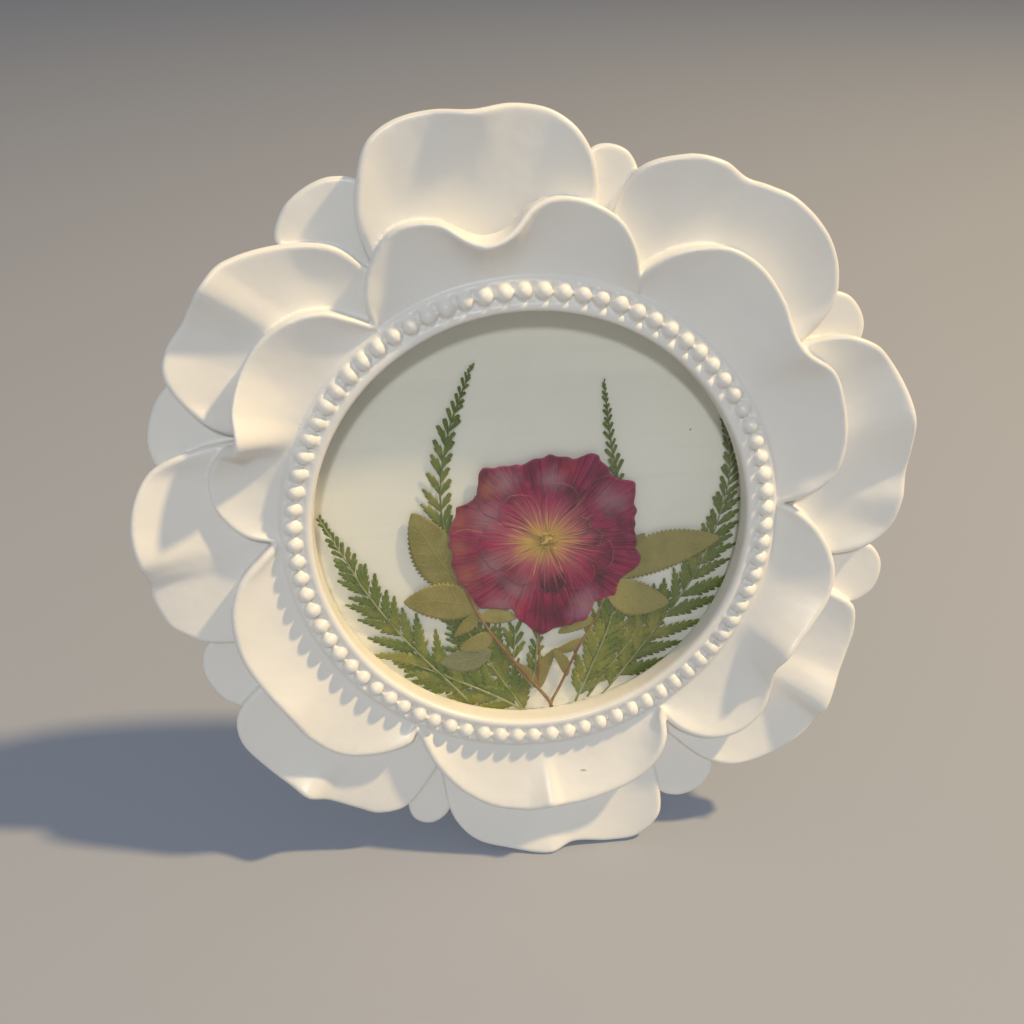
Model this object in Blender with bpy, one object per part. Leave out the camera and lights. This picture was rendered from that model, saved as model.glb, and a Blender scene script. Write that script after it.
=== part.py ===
"""Pressed flower frame: a white cast frame shaped like an open flower, with a round window.

The window holds a pressed rose, its leaves and fern fronds between a glass disc and a card.
A back board with a hinged easel strut and four turn buttons closes it from behind.

Everything is laid out flat first, in the frame's own plane: X to the right, Y up the frame and
Z towards the viewer, with the middle of the bead ring at zero. One empty then leans it back and
stands it on the floor at z = 0.
"""
import math

import bmesh
import bpy
from mathutils import Matrix, Vector

MM = 0.001
NAME = "pressed_flower_frame"

# ---------------------------------------------------------------- driving dimensions
LEAN = math.radians(12.0)              # the frame leans back by this much
RING_CENTRE = Vector((0.46, -14.14, 85.2)) * MM   # middle of the bead ring in the world

OPENING_RADIUS = 49.1 * MM             # inner edge of the lip, as seen from the front
POCKET_RADIUS = 51.5 * MM              # recess that takes the glass, card and board from behind
BEAD_RING_RADIUS = 53.3 * MM
BEAD_RADIUS = 1.95 * MM
LIP_TOP = 0.6 * MM
SHOULDER = -5.3 * MM                   # ledge that the glass rests against
BACK_PLANE = -14.0 * MM                # flat back of the casting
TOUCH_GAP = 0.3 * MM                   # between pieces that bear on each other

GLASS_THICKNESS = 1.8 * MM
CARD_THICKNESS = 0.6 * MM
BOARD_THICKNESS = 2.8 * MM
DISC_RADIUS = POCKET_RADIUS - TOUCH_GAP

PLANT_THICKNESS = 0.10 * MM            # a pressed leaf or petal
LAYER_PITCH = 0.35 * MM                # one layer of pressed plants above the next
LAYERS = 6

GLASS_FRONT = SHOULDER - TOUCH_GAP
GLASS_BACK = GLASS_FRONT - GLASS_THICKNESS
CARD_FRONT = GLASS_BACK - TOUCH_GAP - LAYERS * LAYER_PITCH
CARD_BACK = CARD_FRONT - CARD_THICKNESS
BOARD_FRONT = CARD_BACK - TOUCH_GAP
BOARD_BACK = BOARD_FRONT - BOARD_THICKNESS

BUTTON_CIRCLE = 57.0 * MM              # screws of the turn buttons
BUTTON_LENGTH = 16.0 * MM
BUTTON_WIDTH = 7.0 * MM
BUTTON_THICKNESS = 0.7 * MM
BUTTON_ANGLES = (45, 135, 225, 315)

# (head radius, head height, shank radius, shank length)
BUTTON_SCREW = (2.4 * MM, 1.1 * MM, 1.1 * MM, 5.5 * MM)
HINGE_SCREW = (1.9 * MM, 0.9 * MM, 0.7 * MM, 2.4 * MM)
BUTTON_HOLE_RADIUS = 1.4 * MM
HINGE_HOLE_RADIUS = 1.0 * MM
PILOT_DEPTH = 6.0 * MM                 # of the button screws' holes in the casting
HINGE_PILOT_DEPTH = 2.0 * MM           # of the hinge screws' holes in the board and the strut
THROUGH = 1.0 * MM                     # a cutter reaches this far past what it cuts

HINGE_Y = 28.0 * MM                    # hinge of the strut, up from the middle of the board
HINGE_Z = -16.6 * MM
HINGE_WIDTH = 22.0 * MM
LEAF_THICKNESS = 0.6 * MM
LEAF_LENGTH = 11.0 * MM
LEAF_START = 0.4 * MM                  # the board's leaf starts this far above the axis
HINGE_SCREW_X = 7.0 * MM               # the hinge's screws, either side of the middle
HINGE_SCREW_Y = 6.8 * MM               # the same on the board's leaf, up from the axis
STRUT_SCREW_Y = 5.0 * MM               # on the strut's leaf, down from the strut's top edge
KNUCKLE_RADIUS = 1.9 * MM
KNUCKLE_BORE = 1.05 * MM
PIN_RADIUS = 0.9 * MM
PIN_OVERHANG = 0.6 * MM                # past the knuckles at either end
KNUCKLE_GAP = 0.15 * MM                # half of the gap between neighbouring knuckles
WEB_INSET = 0.05 * MM                  # a web is narrower than its knuckle by this at either end
BOARD_WEB_Y = (0.4 * MM, 1.3 * MM)     # where the webs that carry the knuckles lie
BOARD_WEB_LOW = 1.7 * MM
STRUT_WEB_Y = (-2.6 * MM, -0.6 * MM)
STRUT_LEAF_TOP = -2.4 * MM
WEB_RISE = 0.6 * MM                    # of the strut's web above its plate
STRUT_LENGTH = 112.0 * MM              # hinge axis to foot
STRUT_THICKNESS = 2.4 * MM
STRUT_TOP_WIDTH = 25.0 * MM
STRUT_FOOT_WIDTH = 40.0 * MM
STRUT_GAP = 3.4 * MM                   # the strut starts this far below the hinge axis
STRUT_WAIST = (16.0 * MM, 84.0 * MM)   # half width where the sides start to flare, and how far down

# ---------------------------------------------------------------- petals of the casting
# (angle in degrees, radius in mm, height in mm) round the edge of each petal, counter-clockwise
INNER_PETALS = {
    "top": [(66, 57, 0), (68, 61, 2), (71, 66, 3.5), (75, 70, 4), (81, 72.3, 4.5), (86, 72.5, 5),
            (90, 70.5, 5.5), (94, 65.5, 6.5), (98, 63.8, 6.8), (101, 66, 6), (105, 70.3, 5),
            (110, 72.3, 4.5), (114, 71.8, 4), (119, 68, 3), (123, 63, 2), (125, 57, 0)],
    "upper_right": [(3, 57, 0), (5, 62.5, 2.5), (9, 69, 3.5), (15, 72.2, 4), (22, 73.6, 4.5),
                    (28, 73.8, 5), (34, 70.4, 5.8), (38, 70.8, 5), (43, 73, 4.5), (50, 74.6, 4.5),
                    (56, 73.8, 4.5), (61, 70.4, 4), (65, 66, 3), (68, 60.5, 1.5), (68, 57, 0)],
    "lower_right": [(301, 57, 0), (303, 64, 2.5), (307, 70.3, 3.5), (312, 73.9, 3.5),
                    (319, 74.5, 3.5), (326, 71.7, 4.5), (332, 68.6, 6.5), (338, 70.2, 4.8),
                    (344, 72.2, 3.5), (350, 71.3, 3), (357, 66.4, 2.5), (362, 60.5, 1.2),
                    (363, 57, 0)],
    "bottom": [(239, 57, 0), (242, 59.5, 1.2), (247, 64, 2.5), (254, 69, 3.5), (261, 72, 4),
               (268, 72.5, 4.5), (273, 71.8, 5), (280, 71.6, 4.3), (289, 70.6, 4), (295, 68, 4),
               (300, 63.3, 3.5), (303, 57, 1)],
    "lower_left": [(179, 57, 0), (182, 60.5, 1.5), (187, 66.5, 3), (193, 70.1, 4), (201, 72, 4),
                   (209, 71.8, 4.2), (216, 71.4, 5.2), (222, 72.6, 4.2), (229, 71.5, 3.5),
                   (235, 67, 3), (240, 61, 2), (240, 57, 0)],
    "upper_left": [(124, 57, 0), (127, 62, 2), (130, 66.8, 3.5), (135, 70.4, 4), (141, 72.2, 4),
                   (147, 72, 4.5), (153, 70.2, 5.8), (158, 67.2, 7), (162, 70.5, 4.5),
                   (167, 71.8, 2.8), (173, 69.8, 2.2), (178, 64, 1.5), (180, 57, 0)],
}
OUTER_PETALS = {
    "top": [(77, 66, -2.5), (80, 79, 0.5), (83, 85, 1), (87, 88.6, 0.5), (92, 89.8, 1), (97, 89.4, 2.5),
            (102, 90.8, 1), (107, 91, 1), (111, 89, 1.5), (114, 84, 1.5), (117, 77, 0.5),
            (119, 66, -2.5)],
    "upper_right": [(33, 66, -2.5), (35, 76.3, 0.5), (37, 82.2, 1), (41, 86.6, 1), (46, 88.6, 1.5),
                    (53, 89.2, 0.5), (61, 88.3, 1.5), (68, 86, 1), (74, 79.8, 0.5), (76, 66, -2.5)],
    "right": [(350, 66, -2.5), (353, 77, 0.5), (357, 83.2, 1), (364, 86, 1.5), (370, 87.4, 2.2),
              (376, 88.2, 3), (382, 87.8, 1.2), (388, 84.6, 2.5), (392, 78.8, 1.5),
              (395, 66, -2.5)],
    "lower_right": [(300, 66, -2.5), (303, 76, -0.5), (306, 82.2, 0), (312, 87.8, 0),
                    (318, 89.5, 0.5), (326, 87.2, 2.8), (331, 85.4, 3.2), (336, 84.9, 0.8),
                    (340, 83.5, 0), (343, 80, 0), (345, 66, -2.5)],
    "bottom": [(249, 66, -2.5), (254, 78, -0.5), (259, 84.2, 0), (265, 86.3, 0.5), (272, 87.4, 2),
               (276, 86, 0.5), (282, 88.4, 0), (287, 88.8, 0), (292, 82, 0), (295, 66, -2.5)],
    "lower_left": [(208, 66, -2.5), (210, 79, -0.5), (212, 83.5, 0), (216, 86.6, 0.5),
                   (222, 87.2, 1.8), (228, 86.2, 0.5), (235, 84.6, 0), (242, 82.6, 0),
                   (246, 78, -0.5), (249, 66, -2.5)],
    "left": [(159, 66, -2.5), (163, 76, 0.5), (167, 83.4, 1.2), (171, 86.2, 2.2), (176, 87.2, 2.8),
             (182, 86, 0.8), (188, 86.9, 2.4), (194, 84.6, 0.8), (198, 78.5, 0), (202, 66, -2.5)],
    "upper_left": [(119, 66, -2.5), (122, 75, 0), (128, 81.6, 1), (134, 85.8, 2.5), (139, 86.9, 3.8),
                   (144, 86.2, 1.2), (149, 87, 2.5), (153, 85.4, 3.5), (155, 80.8, 2.5),
                   (158, 74.5, 0), (159, 66, -2.5)],
}
# small petals behind the gaps: (middle angle, reach in mm, half width in degrees)
BACK_PETALS = {
    "top_right": (76.5, 84.2, 6), "right_high": (32, 87.3, 7), "right_low": (347.5, 86.8, 7),
    "bottom_right": (299, 88.0, 8), "bottom_left": (250.5, 85.4, 6), "left_low": (205, 85.9, 8),
    "left_high": (161, 87.2, 9), "top_left": (123, 88.2, 10),
}
INNER_ROOT = (55.9, -1.1)              # radius and height in mm where the petals spring
OUTER_ROOT = (57.5, -2.8)
BACK_ROOT = (58.5, -4.6)
BACK_PETAL_HEIGHT = -3.4
INNER_DEPTHS = (5.0, 7.5)              # thickness in mm at the root and at the edge
OUTER_DEPTHS = (9.0, 4.6)
BOTTOM_DEPTHS = (9.0, 7.0)             # the bottom petal is thicker: the frame stands on it
BACK_DEPTHS = (7.0, 3.6)

# ---------------------------------------------------------------- pressed plants, in mm
EYE = (-24.4, 85.9)                    # where the photo was taken from, in the frame's plane
DEEPER = 0.009                         # the plants lie this share deeper than they were measured
ROSE_CENTRE = (3.5, -5.0)
ROSE_CORE_RADIUS = 2.2
# (angle in degrees, reach in mm, half width in degrees)
ROSE_OUTER = [(127, 23.5, 11.5), (94, 21.0, 15), (61, 23.8, 13), (32, 24.3, 12), (6, 22.0, 12),
              (-17, 24.0, 10), (-41, 22.5, 12), (-68, 21.8, 12), (-95, 24.5, 12), (237, 22.8, 13.5),
              (208, 22.4, 13), (181, 22.3, 12.5), (155, 21.4, 11.5)]
ROSE_INNER = [(130, 13, 16), (72, 14, 14), (22, 10.5, 9.5), (2, 13, 7), (-20, 16, 11.5),
              (-48, 14.5, 13.5), (-81, 13.2, 12), (231, 12, 15), (185, 15.5, 22)]

# leaflets as (base, tip, half width); stems as points with a half width in mm
LEFT_LEAFLETS = [((-13.0, -18.5), (-27.2, 3.2), 6.6), ((-12.5, -20.0), (-30.2, -18.2), 4.7),
                 ((-8.8, -29.5), (-22.0, -32.6), 3.4), ((-11.5, -24.2), (-3.6, -24.0), 2.2)]
LEFT_STEM = [(-13.6, -17.0), (-11.8, -23.0), (-9.0, -29.3), (-5.0, -35.0), (-0.6, -41.0), (2.6, -46.0)]
RIGHT_LEAFLETS = [((18.0, -13.5), (45.0, -7.2), 5.4), ((19.5, -16.0), (26.8, -4.6), 3.4),
                  ((17.5, -19.0), (33.2, -21.6), 5.2), ((15.0, -26.0), (6.2, -29.2), 2.0)]
RIGHT_STEM = [(18.6, -12.5), (17.2, -20.0), (14.0, -28.5), (10.2, -35.5), (7.0, -41.0), (5.4, -45.6)]
ROSE_STEM = [(1.0, -27.0), (0.9, -33.0), (1.0, -37.5), (2.2, -42.5), (4.2, -47.6)]
ROSE_STEM_LEAFLETS = [((2.0, -42.0), (-3.2, -34.6), 1.3), ((2.6, -43.4), (4.2, -35.6), 1.2)]
STEM_HALF_WIDTH = 0.45

# fronds: midrib from tip to stalk, pinna length at its longest, pinna pairs
FRONDS = {
    "fern_left_arching": ([(-47.6, 3.0), (-44.4, -3.6), (-39.8, -10.4), (-35.2, -17.8),
                           (-29.8, -25.4), (-24.0, -32.0), (-17.0, -38.6), (-9.0, -44.6)], 9.0, 12, 0),
    "fern_right_arching": ([(43.6, 21.0), (45.2, 13.5), (44.6, 5.5), (42.6, -2.5), (39.6, -11.0),
                            (35.4, -20.5), (30.0, -29.0), (23.6, -36.6), (17.0, -43.4)], 8.4, 12, 0),
    "fern_left_upright": ([(-12.6, 37.2), (-16.0, 30.2), (-18.2, 23.4), (-19.4, 15.6),
                           (-20.0, 7.6), (-19.6, 0.0), (-17.6, -8.0), (-15.4, -15.0)], 4.0, 11, 1),
    "fern_right_upright": ([(16.2, 32.8), (17.2, 25.4), (18.1, 18.2), (19.0, 11.0), (19.3, 4.0),
                            (18.6, -4.0), (17.4, -12.0)], 3.4, 10, 1),
    "fern_low_left": ([(-19.6, -27.0), (-15.6, -32.0), (-11.0, -37.6), (-5.6, -44.0)], 5.2, 6, 1),
    "fern_low_right": ([(20.4, -24.0), (17.8, -30.4), (14.6, -37.4), (10.8, -45.0)], 5.2, 7, 1),
    "fern_small_tip": ([(-5.0, -24.2), (-4.7, -27.2), (-4.2, -30.2), (-3.6, -33.2)], 2.4, 4, 1),
}
MIDRIB_HALF_WIDTH = 0.35

CIRCLE_STEPS = 60                      # of the ring and the discs
SCREW_STEPS = 8
HOLE_STEPS = 10
HINGE_STEPS = 12
ROSE_CORE_STEPS = 14
BEAD_ROW_STEPS = 6
BUTTON_END_STEPS = 5
TINY = 0.001 * MM                      # points nearer than this are one


# ---------------------------------------------------------------- scene and materials
def clear_scene():
    for obj in list(bpy.data.objects):
        bpy.data.objects.remove(obj, do_unlink=True)


def new_collection(name):
    collection = bpy.data.collections.new(name)
    bpy.context.scene.collection.children.link(collection)
    return collection


def make_material(name, colour, roughness, metallic=0.0, transmission=0.0):
    material = bpy.data.materials.new(name)
    material.use_nodes = True
    shader = material.node_tree.nodes["Principled BSDF"]
    shader.inputs["Base Color"].default_value = (*colour, 1.0)
    shader.inputs["Roughness"].default_value = roughness
    shader.inputs["Metallic"].default_value = metallic
    shader.inputs["Transmission Weight"].default_value = transmission
    material.diffuse_color = (*colour, 1.0)
    return material


def add_part(name, mesh, material, parent, location=(0, 0, 0)):
    """Link a finished mesh as one sub-part, under the leaning frame or the strut."""
    obj = bpy.data.objects.new(name, mesh)
    PARTS.objects.link(obj)
    obj.data.materials.append(material)
    obj.parent = parent
    obj.location = location
    return obj


def add_cutter(name, mesh, parent, location=(0, 0, 0), collection=None):
    """Link a mesh that only cuts or joins others."""
    obj = bpy.data.objects.new(name, mesh)
    (collection or CUTTERS).objects.link(obj)
    obj.parent = parent
    obj.location = location
    obj.hide_render = True
    obj.display_type = "WIRE"
    return obj


def boolean(obj, operation, cutter):
    modifier = obj.modifiers.new(f"{operation.lower()}_{cutter.name}", "BOOLEAN")
    modifier.operation = operation
    if isinstance(cutter, bpy.types.Collection):
        modifier.operand_type = "COLLECTION"
        modifier.collection = cutter
    else:
        modifier.object = cutter
    return modifier


# ---------------------------------------------------------------- shapes
def mesh_from(bm, name):
    bmesh.ops.recalc_face_normals(bm, faces=bm.faces)
    mesh = bpy.data.meshes.new(name)
    bm.to_mesh(mesh)
    bm.free()
    return mesh


def cylinder_mesh(name, radius, z_low, z_high, steps, axis="Z"):
    bm = bmesh.new()
    bmesh.ops.create_cone(bm, cap_ends=True, segments=steps, radius1=radius, radius2=radius,
                          depth=z_high - z_low)
    bmesh.ops.translate(bm, verts=bm.verts, vec=(0, 0, (z_low + z_high) / 2))
    if axis == "X":
        bmesh.ops.rotate(bm, verts=bm.verts, matrix=Matrix.Rotation(math.pi / 2, 3, "Y"))
    mesh = mesh_from(bm, name)
    mesh.shade_smooth()
    mesh.set_sharp_from_angle(angle=math.radians(40))
    return mesh


def box_mesh(name, low, high):
    low, high = Vector(low), Vector(high)
    bm = bmesh.new()
    bmesh.ops.create_cube(bm, size=1.0)
    bmesh.ops.scale(bm, verts=bm.verts, vec=high - low)
    bmesh.ops.translate(bm, verts=bm.verts, vec=(low + high) / 2)
    return mesh_from(bm, name)


def outline_mesh(name, points, z_low, thickness):
    """A flat plate: a closed outline given in the frame's plane, filled and thickened."""
    curve = bpy.data.curves.new(name, "CURVE")
    curve.dimensions = "2D"
    curve.fill_mode = "BOTH"
    curve.extrude = thickness / 2
    spline = curve.splines.new("POLY")
    spline.points.add(len(points) - 1)
    for target, (x, y) in zip(spline.points, points):
        target.co = (x, y, 0, 1)
    spline.use_cyclic_u = True
    guide = bpy.data.objects.new(name, curve)
    bpy.context.scene.collection.objects.link(guide)
    bpy.context.view_layer.update()
    evaluated = guide.evaluated_get(bpy.context.evaluated_depsgraph_get())
    mesh = bpy.data.meshes.new_from_object(evaluated)
    bpy.data.objects.remove(guide, do_unlink=True)
    bm = bmesh.new()
    bm.from_mesh(mesh)
    bpy.data.meshes.remove(mesh)
    bmesh.ops.remove_doubles(bm, verts=bm.verts, dist=TINY)
    bmesh.ops.translate(bm, verts=bm.verts, vec=(0, 0, z_low + thickness / 2))
    return mesh_from(bm, name)


def polar(radius, degrees, centre=(0, 0)):
    angle = math.radians(degrees)
    return centre[0] + radius * math.cos(angle), centre[1] + radius * math.sin(angle)


# ---------------------------------------------------------------- the casting
def ring_profile():
    """Section of the round moulding: lip, half-round bead row, flat back and pocket."""
    arc = []
    for i in range(BEAD_ROW_STEPS):
        angle = math.radians(205 - 230 * i / (BEAD_ROW_STEPS - 1))
        arc.append((BEAD_RING_RADIUS + BEAD_RADIUS * math.cos(angle), BEAD_RADIUS * math.sin(angle)))
    lip = [(OPENING_RADIUS, LIP_TOP - 0.8 * MM), (OPENING_RADIUS + 0.25 * MM, LIP_TOP - 0.2 * MM),
           (OPENING_RADIUS + 0.9 * MM, LIP_TOP), (OPENING_RADIUS + 1.6 * MM, LIP_TOP - 0.3 * MM)]
    under_petals = [(56.4 * MM, -1.3 * MM), (58.5 * MM, -4.0 * MM), (68.0 * MM, -6.5 * MM)]
    back = [(69.0 * MM, -9.0 * MM), (66.0 * MM, BACK_PLANE), (POCKET_RADIUS, BACK_PLANE),
            (POCKET_RADIUS, SHOULDER), (OPENING_RADIUS, SHOULDER)]
    return lip + arc + under_petals + back


def ring_mesh():
    """The round moulding, turned about the window's axis."""
    profile = ring_profile()
    bm = bmesh.new()
    verts = [bm.verts.new((radius, 0, z)) for radius, z in profile]
    for i, vert in enumerate(verts):
        bm.edges.new((vert, verts[(i + 1) % len(verts)]))
    bmesh.ops.spin(bm, geom=bm.verts[:] + bm.edges[:], cent=(0, 0, 0), axis=(0, 0, 1),
                   angle=2 * math.pi, steps=CIRCLE_STEPS, use_merge=True)
    bmesh.ops.remove_doubles(bm, verts=bm.verts, dist=TINY)
    return mesh_from(bm, "ring")


def petal_mesh(name, outline, root, depths):
    """One petal, lofted from its springing line out to its wavy edge, thinner at the edge."""
    root_radius, root_height = root
    rows = (0.0, 0.5, 1.0)
    bm = bmesh.new()
    bmesh.ops.create_grid(bm, x_segments=len(outline) - 1, y_segments=len(rows) - 1, size=0.5)
    bm.verts.ensure_lookup_table()
    first, last = outline[0][0], outline[-1][0]
    depth_of = {}
    for vert in bm.verts:
        along = vert.co.x + 0.5
        across = vert.co.y + 0.5
        degrees, radius, height = outline[round(along * (len(outline) - 1))]
        start = Vector(polar(root_radius, first + (last - first) * along))
        end = Vector(polar(radius, degrees))
        place = start.lerp(end, across)
        level = root_height + (height - root_height) * across ** 1.3
        vert.co = Vector((place.x, place.y, level)) * MM
        depth_of[vert] = (depths[0] + (depths[1] - depths[0]) * across) * MM
    made = bmesh.ops.extrude_face_region(bm, geom=bm.faces[:], use_keep_orig=True)
    under = [item for item in made["geom"] if isinstance(item, bmesh.types.BMVert)]
    above = {(round(v.co.x, 7), round(v.co.y, 7)): depth for v, depth in depth_of.items()}
    for vert in under:
        vert.co.z -= above[(round(vert.co.x, 7), round(vert.co.y, 7))]
    return mesh_from(bm, name)


def back_petal_outline(middle, reach, half_width):
    shape = ((-1.15, 64), (-1.0, reach - 5.0), (-0.55, reach - 1.0), (0, reach),
             (0.55, reach - 1.0), (1.0, reach - 5.0), (1.15, 64))
    return [(middle + side * half_width, radius, BACK_PETAL_HEIGHT) for side, radius in shape]


def make_casting(frame, material):
    """Moulding and petals are one casting, cut flat where it stands and drilled for screws."""
    petals = new_collection("petal_guides")
    for name, outline in INNER_PETALS.items():
        mesh = petal_mesh(f"inner_{name}", outline, INNER_ROOT, INNER_DEPTHS)
        add_cutter(f"inner_{name}", mesh, frame, collection=petals)
    for name, outline in OUTER_PETALS.items():
        depths = BOTTOM_DEPTHS if name == "bottom" else OUTER_DEPTHS
        mesh = petal_mesh(f"outer_{name}", outline, OUTER_ROOT, depths)
        add_cutter(f"outer_{name}", mesh, frame, collection=petals)
    for name, shape in BACK_PETALS.items():
        mesh = petal_mesh(f"back_{name}", back_petal_outline(*shape), BACK_ROOT, BACK_DEPTHS)
        add_cutter(f"back_{name}", mesh, frame, collection=petals)
    casting = add_part("flower_frame", ring_mesh(), material, frame)
    boolean(casting, "UNION", petals)
    floor = add_cutter("floor_cut", box_mesh("floor_cut", (-0.2, -0.2, -0.05), (0.2, 0.2, 0.0)), None)
    boolean(casting, "DIFFERENCE", floor)
    for number, degrees in enumerate(BUTTON_ANGLES, start=1):
        x, y = polar(BUTTON_CIRCLE, degrees)
        hole = cylinder_mesh("pilot_hole", BUTTON_HOLE_RADIUS, BACK_PLANE - THROUGH,
                             BACK_PLANE + PILOT_DEPTH, HOLE_STEPS)
        boolean(casting, "DIFFERENCE", add_cutter(f"pilot_hole_{number}", hole, frame, (x, y, 0)))
    return casting


# ---------------------------------------------------------------- window stack and back
def make_window(frame, glass, card, velvet):
    add_part("glass_disc", cylinder_mesh("glass_disc", DISC_RADIUS, GLASS_BACK, GLASS_FRONT, CIRCLE_STEPS),
             glass, frame)
    add_part("backing_card", cylinder_mesh("backing_card", DISC_RADIUS, CARD_BACK, CARD_FRONT, CIRCLE_STEPS),
             card, frame)
    board = add_part("back_board", cylinder_mesh("back_board", DISC_RADIUS, BOARD_BACK, BOARD_FRONT,
                                                 CIRCLE_STEPS), velvet, frame)
    for number, side in enumerate((-1, 1), start=1):
        hole = cylinder_mesh("board_hole", HINGE_HOLE_RADIUS, BOARD_BACK - THROUGH,
                             BOARD_BACK + HINGE_PILOT_DEPTH, SCREW_STEPS)
        place = (side * HINGE_SCREW_X, HINGE_Y + HINGE_SCREW_Y, 0)
        boolean(board, "DIFFERENCE", add_cutter(f"board_hole_{number}", hole, frame, place))


def screw_mesh(name, head_base, sizes):
    """A round-headed screw along Z: head below head_base, shank above it."""
    head_radius, head_height, shank_radius, shank_length = sizes
    profile = [(0, head_base - head_height), (head_radius * 0.75, head_base - head_height * 0.75),
               (head_radius, head_base), (shank_radius, head_base),
               (shank_radius, head_base + shank_length), (0, head_base + shank_length)]
    bm = bmesh.new()
    verts = [bm.verts.new((radius, 0, z)) for radius, z in profile]
    for low, high in zip(verts, verts[1:]):
        bm.edges.new((low, high))
    bmesh.ops.spin(bm, geom=bm.verts[:] + bm.edges[:], cent=(0, 0, 0), axis=(0, 0, 1),
                   angle=2 * math.pi, steps=SCREW_STEPS, use_merge=True)
    bmesh.ops.remove_doubles(bm, verts=bm.verts, dist=TINY)
    return mesh_from(bm, name)


def make_turn_buttons(frame, steel):
    """Four metal buttons over the board's rim, each turning on its own screw."""
    top = BACK_PLANE - TOUCH_GAP
    half = BUTTON_WIDTH / 2
    reach = BUTTON_LENGTH - half
    turns = [180 * i / BUTTON_END_STEPS for i in range(BUTTON_END_STEPS + 1)]
    outline = [polar(half, 90 + turn) for turn in turns]
    outline += [polar(half, turn - 90, (reach - half, 0)) for turn in turns]
    for number, degrees in enumerate(BUTTON_ANGLES, start=1):
        x, y = polar(BUTTON_CIRCLE, degrees)
        button = add_part(f"turn_button_{number}",
                          outline_mesh("turn_button", outline, top - BUTTON_THICKNESS, BUTTON_THICKNESS),
                          steel, frame, (x, y, 0))
        button.rotation_euler.z = math.radians(degrees + 180)
        hole = cylinder_mesh("button_hole", BUTTON_HOLE_RADIUS, top - BUTTON_THICKNESS - THROUGH,
                             top + THROUGH, HOLE_STEPS)
        boolean(button, "DIFFERENCE", add_cutter(f"button_hole_{number}", hole, frame, (x, y, 0)))
        screw = screw_mesh("button_screw", top - BUTTON_THICKNESS - TOUCH_GAP, BUTTON_SCREW)
        add_part(f"button_screw_{number}", screw, steel, frame, (x, y, 0))


def make_leaf(name, parent, steel, knuckles, plate_low, plate_high, web_low, web_high, holes):
    """One hinge leaf: a plate, a web up to the pin and its knuckles, all one piece of steel."""
    leaf = add_part(name, box_mesh(name, plate_low, plate_high), steel, parent)
    for number, (x_low, x_high) in enumerate(knuckles, start=1):
        web = box_mesh("web", (x_low + WEB_INSET, *web_low), (x_high - WEB_INSET, *web_high))
        boolean(leaf, "UNION", add_cutter(f"{name}_web_{number}", web, parent))
        knuckle = cylinder_mesh("knuckle", KNUCKLE_RADIUS, x_low, x_high, HINGE_STEPS, axis="X")
        boolean(leaf, "UNION", add_cutter(f"{name}_knuckle_{number}", knuckle, parent))
    bore = cylinder_mesh("bore", KNUCKLE_BORE, -HINGE_WIDTH, HINGE_WIDTH, HINGE_STEPS, axis="X")
    boolean(leaf, "DIFFERENCE", add_cutter(f"{name}_bore", bore, parent))
    for number, (x, y, z) in enumerate(holes, start=1):
        hole = cylinder_mesh("leaf_hole", HINGE_HOLE_RADIUS, z - LEAF_THICKNESS - THROUGH, z + THROUGH,
                             SCREW_STEPS)
        boolean(leaf, "DIFFERENCE", add_cutter(f"{name}_hole_{number}", hole, parent, (x, y, 0)))
    return leaf


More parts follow.
